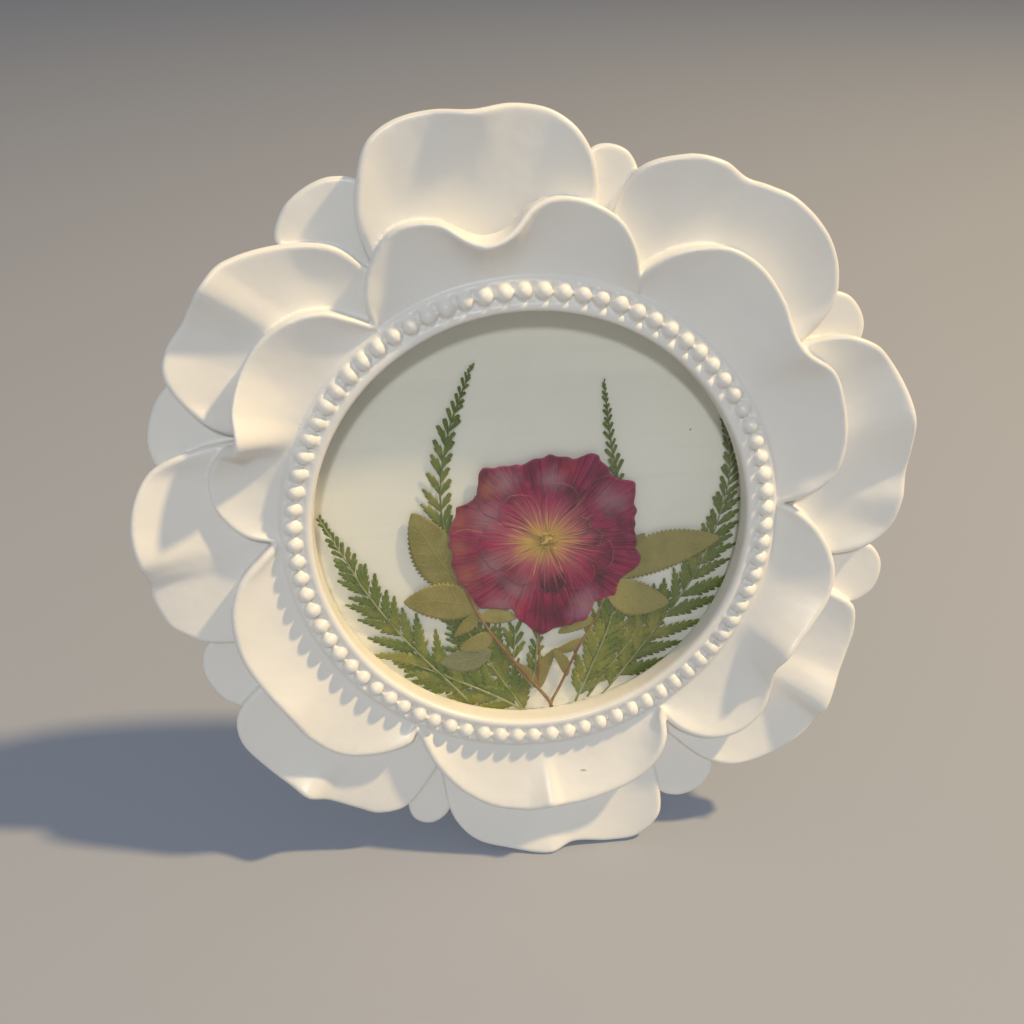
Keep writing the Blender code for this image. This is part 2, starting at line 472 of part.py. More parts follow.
def make_hinge_and_strut(frame, steel, velvet):
    """The strut swings on a pin across the upper back; it is modelled standing open."""
    axis = bpy.data.objects.new("strut_hinge_axis", None)
    bpy.context.scene.collection.objects.link(axis)
    axis.parent = frame
    axis.location = (0, HINGE_Y, HINGE_Z)
    half = HINGE_WIDTH / 2
    third = HINGE_WIDTH / 6
    board_face = BOARD_BACK - TOUCH_GAP - HINGE_Z
    holes = [(side * HINGE_SCREW_X, HINGE_SCREW_Y) for side in (-1, 1)]
    make_leaf("hinge_leaf_board", axis, steel,
              [(-half, -third - KNUCKLE_GAP), (third + KNUCKLE_GAP, half)],
              (-half, LEAF_START, board_face - LEAF_THICKNESS), (half, LEAF_LENGTH, board_face),
              (BOARD_WEB_Y[0], BOARD_WEB_Y[1]), (BOARD_WEB_LOW, board_face - LEAF_THICKNESS / 2),
              [(x, y, board_face) for x, y in holes])
    pin = cylinder_mesh("hinge_pin", PIN_RADIUS, -half - PIN_OVERHANG, half + PIN_OVERHANG, HINGE_STEPS,
                        axis="X")
    add_part("hinge_pin", pin, steel, axis)
    for number, (x, y) in enumerate(holes, start=1):
        screw = screw_mesh("hinge_screw", board_face - LEAF_THICKNESS - TOUCH_GAP, HINGE_SCREW)
        add_part(f"hinge_board_screw_{number}", screw, steel, axis, (x, y, 0))

    swing = bpy.data.objects.new("strut_swing", None)
    bpy.context.scene.collection.objects.link(swing)
    swing.parent = axis
    swing.rotation_euler.x = strut_angle()
    rear = -STRUT_THICKNESS / 2
    waist, waist_down = STRUT_WAIST
    outline = [(-STRUT_TOP_WIDTH / 2, -STRUT_GAP), (-waist, -waist_down),
               (-STRUT_FOOT_WIDTH / 2, -STRUT_LENGTH), (STRUT_FOOT_WIDTH / 2, -STRUT_LENGTH),
               (waist, -waist_down), (STRUT_TOP_WIDTH / 2, -STRUT_GAP)]
    mesh = outline_mesh("easel_strut", outline, rear, STRUT_THICKNESS)
    strut = add_part("easel_strut", mesh, velvet, swing)
    boolean(strut, "DIFFERENCE", bpy.data.objects["floor_cut"])
    plate_top = rear - TOUCH_GAP
    holes = [(side * HINGE_SCREW_X, -STRUT_GAP - STRUT_SCREW_Y) for side in (-1, 1)]
    make_leaf("hinge_leaf_strut", swing, steel, [(-third + KNUCKLE_GAP, third - KNUCKLE_GAP)],
              (-half, -STRUT_GAP - LEAF_LENGTH, plate_top - LEAF_THICKNESS),
              (half, STRUT_LEAF_TOP, plate_top),
              (STRUT_WEB_Y[0], plate_top - LEAF_THICKNESS * 0.9), (STRUT_WEB_Y[1], plate_top + WEB_RISE),
              [(x, y, plate_top) for x, y in holes])
    for number, (x, y) in enumerate(holes, start=1):
        hole = cylinder_mesh("strut_hole", HINGE_HOLE_RADIUS, rear - THROUGH, rear + HINGE_PILOT_DEPTH,
                             SCREW_STEPS)
        boolean(strut, "DIFFERENCE", add_cutter(f"strut_hole_{number}", hole, swing, (x, y, 0)))
        screw = screw_mesh("strut_screw", plate_top - LEAF_THICKNESS - TOUCH_GAP, HINGE_SCREW)
        add_part(f"hinge_strut_screw_{number}", screw, steel, swing, (x, y, 0))


def strut_angle():
    """Angle from the back plane at which the strut's foot just reaches the floor."""
    hinge_height = RING_CENTRE.z + HINGE_Y * math.cos(LEAN) + HINGE_Z * math.sin(LEAN)
    from_vertical = math.acos(hinge_height / STRUT_LENGTH)
    return from_vertical + LEAN


# ---------------------------------------------------------------- pressed plants
def layer_height(layer):
    """Underside of a plant in this layer, counted from the card."""
    return CARD_FRONT + TOUCH_GAP + layer * LAYER_PITCH


def laid(point):
    """Where a plant's point, measured through the glass, really lies in the frame's plane."""
    return Vector(point) + (Vector(point) - Vector(EYE)) * DEEPER


def strip_outline(points, half_width):
    """Both sides of a narrow strip along a line of points."""
    sides = ([], [])
    for i, point in enumerate(points):
        before = Vector(points[max(i - 1, 0)])
        after = Vector(points[min(i + 1, len(points) - 1)])
        across = (after - before).normalized().orthogonal() * half_width
        sides[0].append(tuple(laid(Vector(point) + across) * MM))
        sides[1].append(tuple(laid(Vector(point) - across) * MM))
    return sides[0] + sides[1][::-1]


def leaflet_outline(base, tip, half_width, steps=5):
    """A pointed oval, widest just below the middle."""
    base, tip = Vector(base), Vector(tip)
    across = (tip - base).normalized().orthogonal()
    widths = [math.sin(math.pi * (i / steps) ** 0.85) ** 0.8 * half_width for i in range(1, steps)]
    right = [base.lerp(tip, i / steps) + across * width for i, width in enumerate(widths, start=1)]
    left = [base.lerp(tip, i / steps) - across * width for i, width in enumerate(widths, start=1)]
    return [tuple(laid(point) * MM) for point in [base] + right + [tip] + left[::-1]]


def frond_outline(midrib, longest, pairs):
    """Saw-toothed outline of a fern frond: pinnae lean towards the tip and shorten both ways."""
    total = len(midrib) - 1

    def at(share):
        place = min(share * total, total - 1e-6)
        index = int(place)
        return Vector(midrib[index]).lerp(Vector(midrib[index + 1]), place - index)

    sides = ([], [])
    for pair in range(pairs):
        share = 0.04 + 0.86 * pair / pairs
        step = 0.86 / pairs
        root = at(share + step)
        notch = at(share + step * 0.9)
        forward = (at(share) - root).normalized()
        across = forward.orthogonal()
        length = longest * math.sin(math.pi * (0.1 + 0.75 * (pair + 1) / pairs)) ** 0.9
        for side, sign in zip(sides, (1, -1)):
            side.append(root + (forward * 0.62 + across * sign * 0.78) * length)
            side.append(notch + across * sign * MIDRIB_HALF_WIDTH * 1.6)
    stalk = Vector(midrib[-1])
    across = (Vector(midrib[-2]) - stalk).normalized().orthogonal() * MIDRIB_HALF_WIDTH
    points = [Vector(midrib[0])] + sides[0] + [stalk + across, stalk - across] + sides[1][::-1]
    return [tuple(laid(point) * MM) for point in points]


def rose_petal_outline(degrees, reach, half_width):
    shape = [(ROSE_CORE_RADIUS + TOUCH_GAP / MM, 0.3), (reach * 0.55, 0.86), (reach * 0.84, 1.0),
             (reach * 0.96, 0.62)]
    side = [polar(radius, degrees + half_width * share, ROSE_CENTRE) for radius, share in shape]
    other = [polar(radius, degrees - half_width * share, ROSE_CENTRE) for radius, share in shape]
    tip = polar(reach, degrees, ROSE_CENTRE)
    return [tuple(laid(point) * MM) for point in side + [tip] + other[::-1]]


def make_rose(frame, crimson, yellow):
    for number, shape in enumerate(ROSE_OUTER, start=1):
        mesh = outline_mesh("petal", rose_petal_outline(*shape), layer_height(3), PLANT_THICKNESS)
        add_part(f"rose_outer_petal_{number:02d}", mesh, crimson, frame)
    for number, shape in enumerate(ROSE_INNER, start=1):
        mesh = outline_mesh("petal", rose_petal_outline(*shape), layer_height(4), PLANT_THICKNESS)
        add_part(f"rose_inner_petal_{number:02d}", mesh, crimson, frame)
    core = cylinder_mesh("rose_centre", ROSE_CORE_RADIUS * MM, layer_height(3),
                         layer_height(5) + PLANT_THICKNESS, ROSE_CORE_STEPS)
    add_part("rose_centre", core, yellow, frame, (laid(ROSE_CENTRE) * MM).to_3d())


def make_sprig(name, frame, material, layer, stem, leaflets):
    """A stem with its leaflets, grown as one piece; each leaflet a little thinner than the last."""
    sprig = add_part(name, outline_mesh(name, strip_outline(stem, STEM_HALF_WIDTH), layer_height(layer),
                                        PLANT_THICKNESS), material, frame)
    for number, (base, tip, half_width) in enumerate(leaflets, start=1):
        shrink = 0.008 * MM * number
        mesh = outline_mesh("leaflet", leaflet_outline(base, tip, half_width),
                            layer_height(layer) + shrink, PLANT_THICKNESS - 2 * shrink)
        boolean(sprig, "UNION", add_cutter(f"{name}_leaflet_{number}", mesh, frame))


def make_fronds(frame, fern):
    for name, (midrib, longest, pairs, layer) in FRONDS.items():
        mesh = outline_mesh(name, frond_outline(midrib, longest, pairs), layer_height(layer),
                            PLANT_THICKNESS)
        add_part(name, mesh, fern, frame)


# ---------------------------------------------------------------- the whole frame
clear_scene()
PARTS = new_collection(NAME)
CUTTERS = new_collection("cutters")

white = make_material("white_satin_paint", (0.86, 0.85, 0.82), 0.42)
clear_glass = make_material("clear_glass", (0.95, 0.97, 0.96), 0.02, transmission=1.0)
pale_card = make_material("pale_card", (0.78, 0.79, 0.73), 0.85)
black_velvet = make_material("black_velvet", (0.02, 0.02, 0.022), 0.95)
bright_steel = make_material("bright_steel", (0.62, 0.62, 0.62), 0.32, metallic=1.0)
crimson_petal = make_material("crimson_petal", (0.36, 0.04, 0.10), 0.7)
yellow_stamens = make_material("yellow_stamens", (0.62, 0.45, 0.14), 0.8)
olive_leaf = make_material("olive_leaf", (0.30, 0.27, 0.09), 0.75)
green_fern = make_material("green_fern", (0.12, 0.19, 0.06), 0.75)

leaning_frame = bpy.data.objects.new("leaning_frame", None)
bpy.context.scene.collection.objects.link(leaning_frame)
leaning_frame.location = RING_CENTRE
leaning_frame.rotation_euler.x = math.pi / 2 - LEAN

make_casting(leaning_frame, white)
make_window(leaning_frame, clear_glass, pale_card, black_velvet)
make_turn_buttons(leaning_frame, bright_steel)
make_hinge_and_strut(leaning_frame, bright_steel, black_velvet)
make_fronds(leaning_frame, green_fern)
make_sprig("rose_stem", leaning_frame, olive_leaf, 1, ROSE_STEM, ROSE_STEM_LEAFLETS)
make_sprig("rose_leaf_left", leaning_frame, olive_leaf, 2, LEFT_STEM, LEFT_LEAFLETS)
make_sprig("rose_leaf_right", leaning_frame, olive_leaf, 2, RIGHT_STEM, RIGHT_LEAFLETS)
make_rose(leaning_frame, crimson_petal, yellow_stamens)
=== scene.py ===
"""Looks of the pressed flower frame: a white cast flower round a window of pressed plants.

Everything is modelled in millimetres in the frame's own plane: X to the right, Y up the frame and
Z towards the viewer, with the middle of the bead ring at zero. LAYOUT leans it back and stands it
on the floor, in metres.
"""
import math
import random

import bmesh
import bpy
from mathutils import Matrix, Vector, noise


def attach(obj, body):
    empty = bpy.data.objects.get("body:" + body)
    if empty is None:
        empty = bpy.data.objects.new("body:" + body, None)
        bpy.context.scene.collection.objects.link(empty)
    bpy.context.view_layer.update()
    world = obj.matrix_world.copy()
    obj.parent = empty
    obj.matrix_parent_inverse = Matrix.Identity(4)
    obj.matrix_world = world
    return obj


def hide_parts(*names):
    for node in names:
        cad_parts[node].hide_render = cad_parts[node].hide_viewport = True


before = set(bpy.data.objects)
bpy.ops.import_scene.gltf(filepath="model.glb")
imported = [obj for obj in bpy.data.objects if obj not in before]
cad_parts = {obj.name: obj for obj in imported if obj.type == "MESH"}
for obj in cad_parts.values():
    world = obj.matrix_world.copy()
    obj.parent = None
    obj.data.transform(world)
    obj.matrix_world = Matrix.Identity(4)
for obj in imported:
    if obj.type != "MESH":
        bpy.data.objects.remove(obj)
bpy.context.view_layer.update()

# ---------------------------------------------------------------- places and sizes, in mm
MM = 0.001
UP = Vector((0, 0, 1))
LEAN = math.radians(12.0)
RING_CENTRE = Vector((0.46, -14.14, 85.2))
LAYOUT = (Matrix.Translation(RING_CENTRE * MM) @ Matrix.Rotation(math.pi / 2 - LEAN, 4, "X")
          @ Matrix.Scale(MM, 4))

OPENING_RADIUS = 49.1
POCKET_RADIUS = 51.5
DISC_RADIUS = 51.2
CARD_RADIUS = 51.42
SHOULDER = -5.3
BACK_PLANE = -14.0
GLASS_FRONT, GLASS_BACK = -5.6, -7.4
CARD_FRONT, CARD_BACK = -9.8, -10.4
BEAD_RING_RADIUS = 53.3
BEAD_COUNT = 81
FIRST_BEAD = 2.5                       # degrees
BEAD_HALF_SIZES = (1.90, 1.83, 1.92)   # outwards, along the ring and towards the viewer
# (head radius, head height, shank radius, shank length)
BUTTON_SCREW = (2.4, 1.1, 1.1, 5.5)
HINGE_SCREW = (1.9, 0.9, 0.7, 2.4)
SCREW_SLOT = 0.5

# camera: where the photograph was taken from, in metres
CAMERA_PLACE = Vector((-0.02398, -0.20793, 0.21416))
CAMERA_FORWARD = Vector((0.08463, 0.83993, -0.53606))
CAMERA_LENS = 36.56
# lamps: (name, way they stand from the window, distance and size in metres, watts, colour)
LAMPS = [("warm_key", (0.60, -0.05, 0.80), 2.0, 0.12, 39.5, (1.0, 0.72, 0.35)),
         ("ceiling", (-0.08, -0.73, 0.67), 1.5, 0.16, 6.7, (0.98, 1.0, 1.0))]

# marks: (middle, half sizes in metres)
PAINT_NICKS = [((11.3, -63.4, 0.9), (0.0011, 0.0014, 0.0003)),
               ((-25.6, 70.0, -0.5), (0.0004, 0.0004, 0.0003)),
               ((-6.5, -69.5, 3.0), (0.0003, 0.0003, 0.0003))]
CARD_SPECK = ((37.6, 19.2, CARD_FRONT), (0.0003, 0.0003, 0.0003))

# ---------------------------------------------------------------- petals of the casting
# (angle in degrees, radius, height, flare of the outer wall at its foot) round each petal's rim
INNER_PETALS = {
    "top": [
        (66, 57, 0), (68, 61, 2), (71, 66, 3.5), (75, 70, 4), (81, 72.3, 4.5), (86, 72.5, 5),
        (90, 70.5, 5.5, 0.3), (94, 65.8, 6.5, 1), (98, 64.4, 6.8, 1.6), (101, 66, 6, 1.2),
        (105, 70.3, 5, 0.4), (110, 72.3, 4.5), (114, 71.8, 4), (119, 68, 3), (123, 63, 2),
        (125, 57, 0)],
    "upper_right": [
        (3, 57, 0), (5, 62.5, 2.5), (9, 69, 3.5), (15, 72.2, 4), (22, 73.6, 4.5), (28, 73.8, 5),
        (34, 70.4, 6.2, 0.8), (38, 70.8, 5), (43, 73, 4.5), (50, 74.6, 4.5), (56, 73.8, 4.5),
        (61, 70.4, 4), (65, 66, 3), (68, 60.5, 1.5), (68, 57, 0)],
    "lower_right": [
        (301, 57, 0), (303, 64, 2.5), (307, 70.3, 3.5), (312, 73.9, 3.5), (318, 74.4, 3.2),
        (323, 71.6, 3.2), (326.5, 68.8, 4.6), (330.5, 68.2, 7, 0.5), (335, 69.2, 6), (339, 70.6, 4.8),
        (344, 72.2, 3.5), (350, 71.3, 3), (357, 66.4, 2.5), (362, 60.5, 1.2), (363, 57, 0)],
    "bottom": [
        (239, 57, 0), (242, 59.5, 1), (247, 64, 1.9), (254, 69, 2.6), (261, 72, 3.4), (268, 72.3, 4.6),
        (271, 71.4, 5.6), (272.7, 70.7, 6.2), (274.5, 71.6, 4.8), (280, 71.8, 4.2), (289, 70.6, 4),
        (295, 68, 4), (300, 63.3, 3.5), (303, 57, 1)],
    "lower_left": [
        (179, 57, 0), (182, 60.5, 1.5), (187, 66.5, 3), (193, 70.1, 4), (201, 72, 4), (209, 71.8, 4.2),
        (216, 71.4, 4.7), (222, 72.6, 3.2), (229, 71.5, 2.4), (235, 67, 1.9), (240, 61, 1.3),
        (240, 57, 0)],
    "upper_left": [
        (124, 57, 0), (127, 62, 2), (130, 66.8, 3.5), (135, 70.4, 4), (141, 72.2, 4), (147, 72, 4.5),
        (153, 70.2, 6.8), (158, 67.2, 9.0, 0.5), (162, 70.3, 3.2), (167, 71.8, 0.7), (173, 69.8, 0.4),
        (178, 64, 0.3), (180, 57, 0)],
}
OUTER_PETALS = {
    "top": [
        (77, 66, -2.5), (80, 79, 0.5), (83, 85, 1), (87, 88.6, 0.5), (92, 89.8, 1), (97, 89.4, 2.5),
        (102, 90.8, 1), (107, 91, 1), (111, 89, 1.5), (114, 84, 1.5), (117, 77, 0.5), (119, 66, -2.5)],
    "upper_right": [
        (33, 66, -2.5), (35, 76.3, 0.5), (37, 82.2, 1), (41, 86.6, 1.4), (46, 88.9, 2.4),
        (52, 89.4, 2.6), (56, 88.2, 1.4), (59, 87.1, 0.6), (63, 87.6, 1.8), (68, 85.8, 1.6),
        (74, 79.8, 0.5), (76, 66, -2.5)],
    "right": [
        (350, 66, -2.5), (353, 77, 0.5), (357, 83.2, 1), (362, 85.4, 1.8), (366, 86.4, 0.6),
        (371, 87.6, 2.4), (375, 88.2, 4.2), (379, 88.1, 3), (384, 86.9, 1.6), (388, 84.6, 2.5),
        (392, 78.8, 1.5), (395, 66, -2.5)],
    "lower_right": [
        (300, 66, -2.5), (303, 76, -0.5), (306, 82.2, 0), (310, 85.7, 0), (315, 88.2, 0),
        (319, 89.1, 0.2), (322.5, 88, 1.2), (325, 86.6, 4.2), (328, 85.7, 3.4), (331, 85.3, 1.2),
        (335, 84.5, 0.2), (339, 83.4, 0), (343, 80, 0), (345, 66, -2.5)],
    "bottom": [
        (249, 66, -2.5), (254, 78, -0.5), (259, 84.2, 0), (265, 86.3, 0.5), (272, 87.4, 2),
        (276, 86, 0.5), (282, 88.4, 0), (287, 89.2, 0), (292, 84.2, 0), (295.5, 66, -2.5)],
    "lower_left": [
        (208, 66, -2.5), (210, 79, -0.5), (212, 83.5, 0), (216, 86.6, -0.4), (222, 87.2, -0.7),
        (226, 86.6, 0.6), (229.5, 86, 2.4), (233, 85.3, -0.3), (238, 84.4, -1.1), (242, 83.5, -1.2),
        (246, 79, -1.5), (249, 66, -2.8)],
    "left": [
        (159, 66, -2.5), (163, 76, 0.5), (167, 83.4, 1.2), (171, 86.2, 2.6), (176, 87.2, 3.9),
        (181, 86.4, 4.2), (184, 86, 1.4), (186, 86.2, -0.8), (188, 86.7, -1.2), (192, 85.8, -1.6),
        (194, 84.6, -1.8), (198, 78.5, -2), (202, 66, -3)],
    "upper_left": [
        (119, 66, -2.5), (122, 75, 0), (128, 81.6, 1), (135, 87, 3.6), (139.3, 87.4, 5.2),
        (142.8, 87, 2.6), (145.4, 86.7, 1.2), (149, 87.2, 0.9), (152, 86.4, 1.5), (154, 84.4, 1.6),
        (156.5, 79.5, 0.8), (158.5, 73, 0), (159, 66, -2.5)],
}
# how late the waves of each petal's rim show on its face
INNER_FOLDS = {"top": 2.3, "upper_right": 1.6, "lower_right": 1.4, "bottom": 1.6, "lower_left": 2.0,
               "upper_left": 0.8}
OUTER_FOLDS = {"top": 6.0, "upper_right": 2.5, "right": 1.8, "lower_right": 1.8, "bottom": 3.0,
               "lower_left": 4.0, "left": 2.5, "upper_left": 1.4}
# small petals behind the gaps: (middle angle, reach, half width in degrees)
BACK_PETALS = {
    "top_right": (77.6, 83.6, 4.8), "right_high": (32.6, 86.6, 5.4), "right_low": (347.7, 86.2, 5.5),
    "bottom_right": (298.4, 86.0, 5.6), "bottom_left": (250.0, 84.2, 3.9),
    "left_low": (205.3, 84.4, 7.0), "left_high": (160.6, 86.4, 8.2), "top_left": (121.2, 87.2, 7.6),
}
INNER_ROOT = (55.9, -1.1)              # radius and height where the petals spring
OUTER_ROOT = (57.5, -3.4)
BACK_ROOT = (58.5, -4.6)
BACK_PETAL_HEIGHT = -3.4
INNER_DEPTHS = (5.0, 7.5)              # thickness at the root and at the rim
OUTER_DEPTHS = (9.0, 4.6)
BOTTOM_DEPTHS = (9.0, 7.0)
BACK_DEPTHS = (7.0, 3.6)
INNER_ROLLS = {"top": 0.75, "upper_right": 0.75, "upper_left": 0.75, "lower_right": 1.05,
               "bottom": 1.1, "lower_left": 1.05}   # radius of the rounded rim
OUTER_ROLL = 0.95
BACK_ROLL = 1.0
INNER_CUP, OUTER_CUP, BACK_CUP = 1.45, 2.0, 1.45   # how late the face rises towards the rim
WIDEST_ROLL = 0.4                      # the rounded rim's radius at most, as a share of the reach
SHORTEST_SPAN = 3.0                    # a petal's reach at least, where its face's lean is worked out
LEAST_LEAN, MOST_LEAN = -0.2, 0.7      # radians that the face may lean where it meets the rim
ROLL_END, ROLL_END_PER_FLARE = 98, 13  # degrees that the rim rolls over, and how many a flare takes off
UNDERCUT = 0.35                        # how far the outer wall's foot stands in from the rim
FOOT_BEVEL = 1.0
RIM_STEPS = 110
FACE_STEPS = 22
ROLL_STEPS = 8
RING_STEPS, DISC_STEPS = 256, 128      # sides of the ring and of the discs behind it
VOXEL = 0.36   # grain of the skin that fuses the casting
CASTING_TRIANGLES = 190_000

# ---------------------------------------------------------------- pressed plants
EYE = Vector((-24.4, 85.9, 0))         # where the photograph was taken from, in the frame's plane
DEEPER = 0.009                         # the plants lie this share deeper than they were measured
ROSE_CENTRE = Vector((3.5, -5.0, 0))
ROSE_OUTLINE = [(24.3, 2), (24.5, -4), (26, -12.3), (21, -15.8), (20, -20.2), (15, -21), (13, -26),
                (5, -28), (2, -29.5), (-3, -25), (-5, -22), (-12, -21), (-17.5, -14), (-19, -5),
                (-17.5, 4.5), (-12.7, 6), (-12.5, 9), (-10.5, 13.8), (-3, 13.5), (4.5, 16), (9, 15),
                (15.9, 15.4), (18.4, 10.5), (24.2, 8.0)]
# outer petals: (first angle, last angle, how high in the stack)
ROSE_OUTER = [(109, 146, 3), (75, 110, 9), (44, 76, 5), (18, 45, 10), (-6, 20, 4), (-31, -3, 8),
              (-55, -28, 2), (-79, -53, 7), (-108, -77, 11), (-136, -107, 1), (-160, -134, 6),
              (174, 202, 12), (144, 177, 0)]
ROSE_TOP = -8.4                        # height at which the patches are centred
DARK_ROSE = (0.060, 0.003, 0.020)
# soft patches on the rose, from the first laid to the last: (colour, places and radii); all but the
# last are patches of age, and the last, pale mauve-grey ones are a painted reflection of the glass
ROSE_AGE_AND_REFLECTION_PATCHES = [
    ((0.40, 0.018, 0.045), [((9.2, 12.0), 2.8), ((-3.5, -22.5), 3.0)]),
    ((0.34, 0.105, 0.068), [
        ((-9.7, 7.5), 2.6), ((-16.5, 0.0), 3.0), ((-15.1, -13.3), 3.2), ((-17.0, -6.5), 2.6)]),
    (DARK_ROSE, [
        ((10.4, 6.1), 2.4), ((13.0, -2.4), 2.4), ((16.8, -5.0), 2.2), ((6.0, -17.2), 3.4),
        ((-4.5, 5.3), 2.0), ((19.1, -10.0), 2.8), ((6.2, -24.6), 5.0), ((16.0, 9.5), 3.2),
        ((-6.5, -16.0), 2.5), ((-11.0, 11.5), 2.2), ((16.6, -17.0), 3.0), ((21.5, -6.5), 2.4)]),
    ((0.26, 0.060, 0.17), [((11.7, -24.9), 3.4), ((14.0, -20.0), 2.6)]),
    # painted reflection: the glass's pale mauve-grey haze, painted onto the petals
    ((0.33, 0.18, 0.22), [
        ((-5.3, 9.2), 3.4), ((-10.0, 1.0), 4.0), ((-9.2, -11.3), 3.6), ((-7.2, -22.0), 3.8),
        ((19.2, 3.8), 3.8), ((-3.2, -17.4), 3.4), ((5.2, 9.4), 3.0), ((12.9, -22.8), 3.4)]),
]
HEART_SIZE = (0.0092, 0.0070, 0.0070)  # metres
ROSE_HOLE = 1.2                        # the petals spring at this distance from the rose's centre
ROSE_OVERLAP = 7                       # degrees that an outer petal runs in under its neighbours
ROSE_RAGGED = 0.045                    # how uneven the petals' ends are
# inner petals: (middle angle, reach, half width in degrees, darkness of the tip)
ROSE_INNER = [(184, 16.0, 30, 0.1), (231, 12.8, 25, 0.3), (130, 14.0, 27, 0.2), (72, 14.8, 22, 0.7),
              (-20, 16.9, 22, 0.5), (2, 13.4, 14, 0.9), (22, 11.2, 18, 1.0), (-49, 15.4, 21, 0.4),
              (-82, 13.6, 18, 1.0)]

# sprigs: (layer in the stack, stem from its top to its foot, leaflets as (base, tip, half width,
# sideways bend), and each leaflet's tone as (age, greyness, brownness))
SPRIGS = {
    "rose_stem": (
        1, [(1.6, -27.0), (1.6, -30.9), (1.7, -35.0), (1.5, -39.0), (1.3, -43.8)],
        [((1.0, -44.0), (-4.6, -36.4), 1.6, -0.5), ((1.6, -44.2), (5.8, -33.4), 1.8, 1.1)],
        [(0.5, 0, 0.5), (0.5, 0, 0.5)]),
    "rose_leaf_left": (
        2, [(-15.6, -16.0), (-13.8, -21.0), (-10.4, -27.3), (-4.3, -36.5), (1.2, -43.8), (4.2, -48.2),
            (4.5, -50.6)],
        [((-14.4, -17.4), (-27.2, 3.4), 6.4, 1.2), ((-12.4, -21.0), (-30.2, -18.6), 5.2, -0.8),
         ((-9.9, -33.2), (-22.4, -35.4), 3.6, 0.6), ((-12.6, -23.6), (-3.6, -24.4), 2.2, 0.3),
         ((-9.4, -28.2), (-17.6, -31.6), 2.6, 0.8), ((-12.4, -22.4), (-18.8, -28.4), 1.8, 0.3)],
        [(0.55, 0, 0), (0.75, 0, 0.35), (0.2, 0.9, 0), (0.8, 0, 0.2), (0.7, 0, 0), (0.6, 0, 0.3)]),
    "rose_leaf_right": (
        2, [(17.4, -20.5), (15.2, -25.9), (11.0, -33.7), (8.4, -39.5), (6.4, -44.0), (4.3, -48.4),
            (4.6, -50.4)],
        [((18.0, -14.6), (45.0, -6.6), 5.4, 1.4), ((19.5, -16.0), (26.8, -4.6), 3.4, 0.4),
         ((17.5, -17.5), (33.2, -23.0), 5.0, -1.2), ((15.0, -26.0), (6.2, -29.2), 2.0, -0.5),
         ((12.7, -31.2), (4.8, -34.3), 1.5, 0.5), ((8.4, -41.0), (4.6, -33.6), 1.5, -1.0)],
        [(0.85, 0, 0.25), (0.6, 0, 0.2), (0.9, 0, 0.15), (0.6, 0.2, 0), (0.6, 0, 0.4), (0.5, 0, 0.3)]),
}
TEETH_PER_MM = 0.95                    # along a leaflet
TOOTH_DEPTH = 0.15                     # as a share of the leaflet's half width
ROWS_PER_TOOTH = 4
STRIP_CROWN = 0.16                     # how high stems and midribs stand above their edges
STRIP_COLUMNS, LEAFLET_COLUMNS, PINNA_COLUMNS = 4, 8, 6
PETAL_COLUMNS, PETAL_ROWS = 28, 26
STAMEN_COUNT = 34

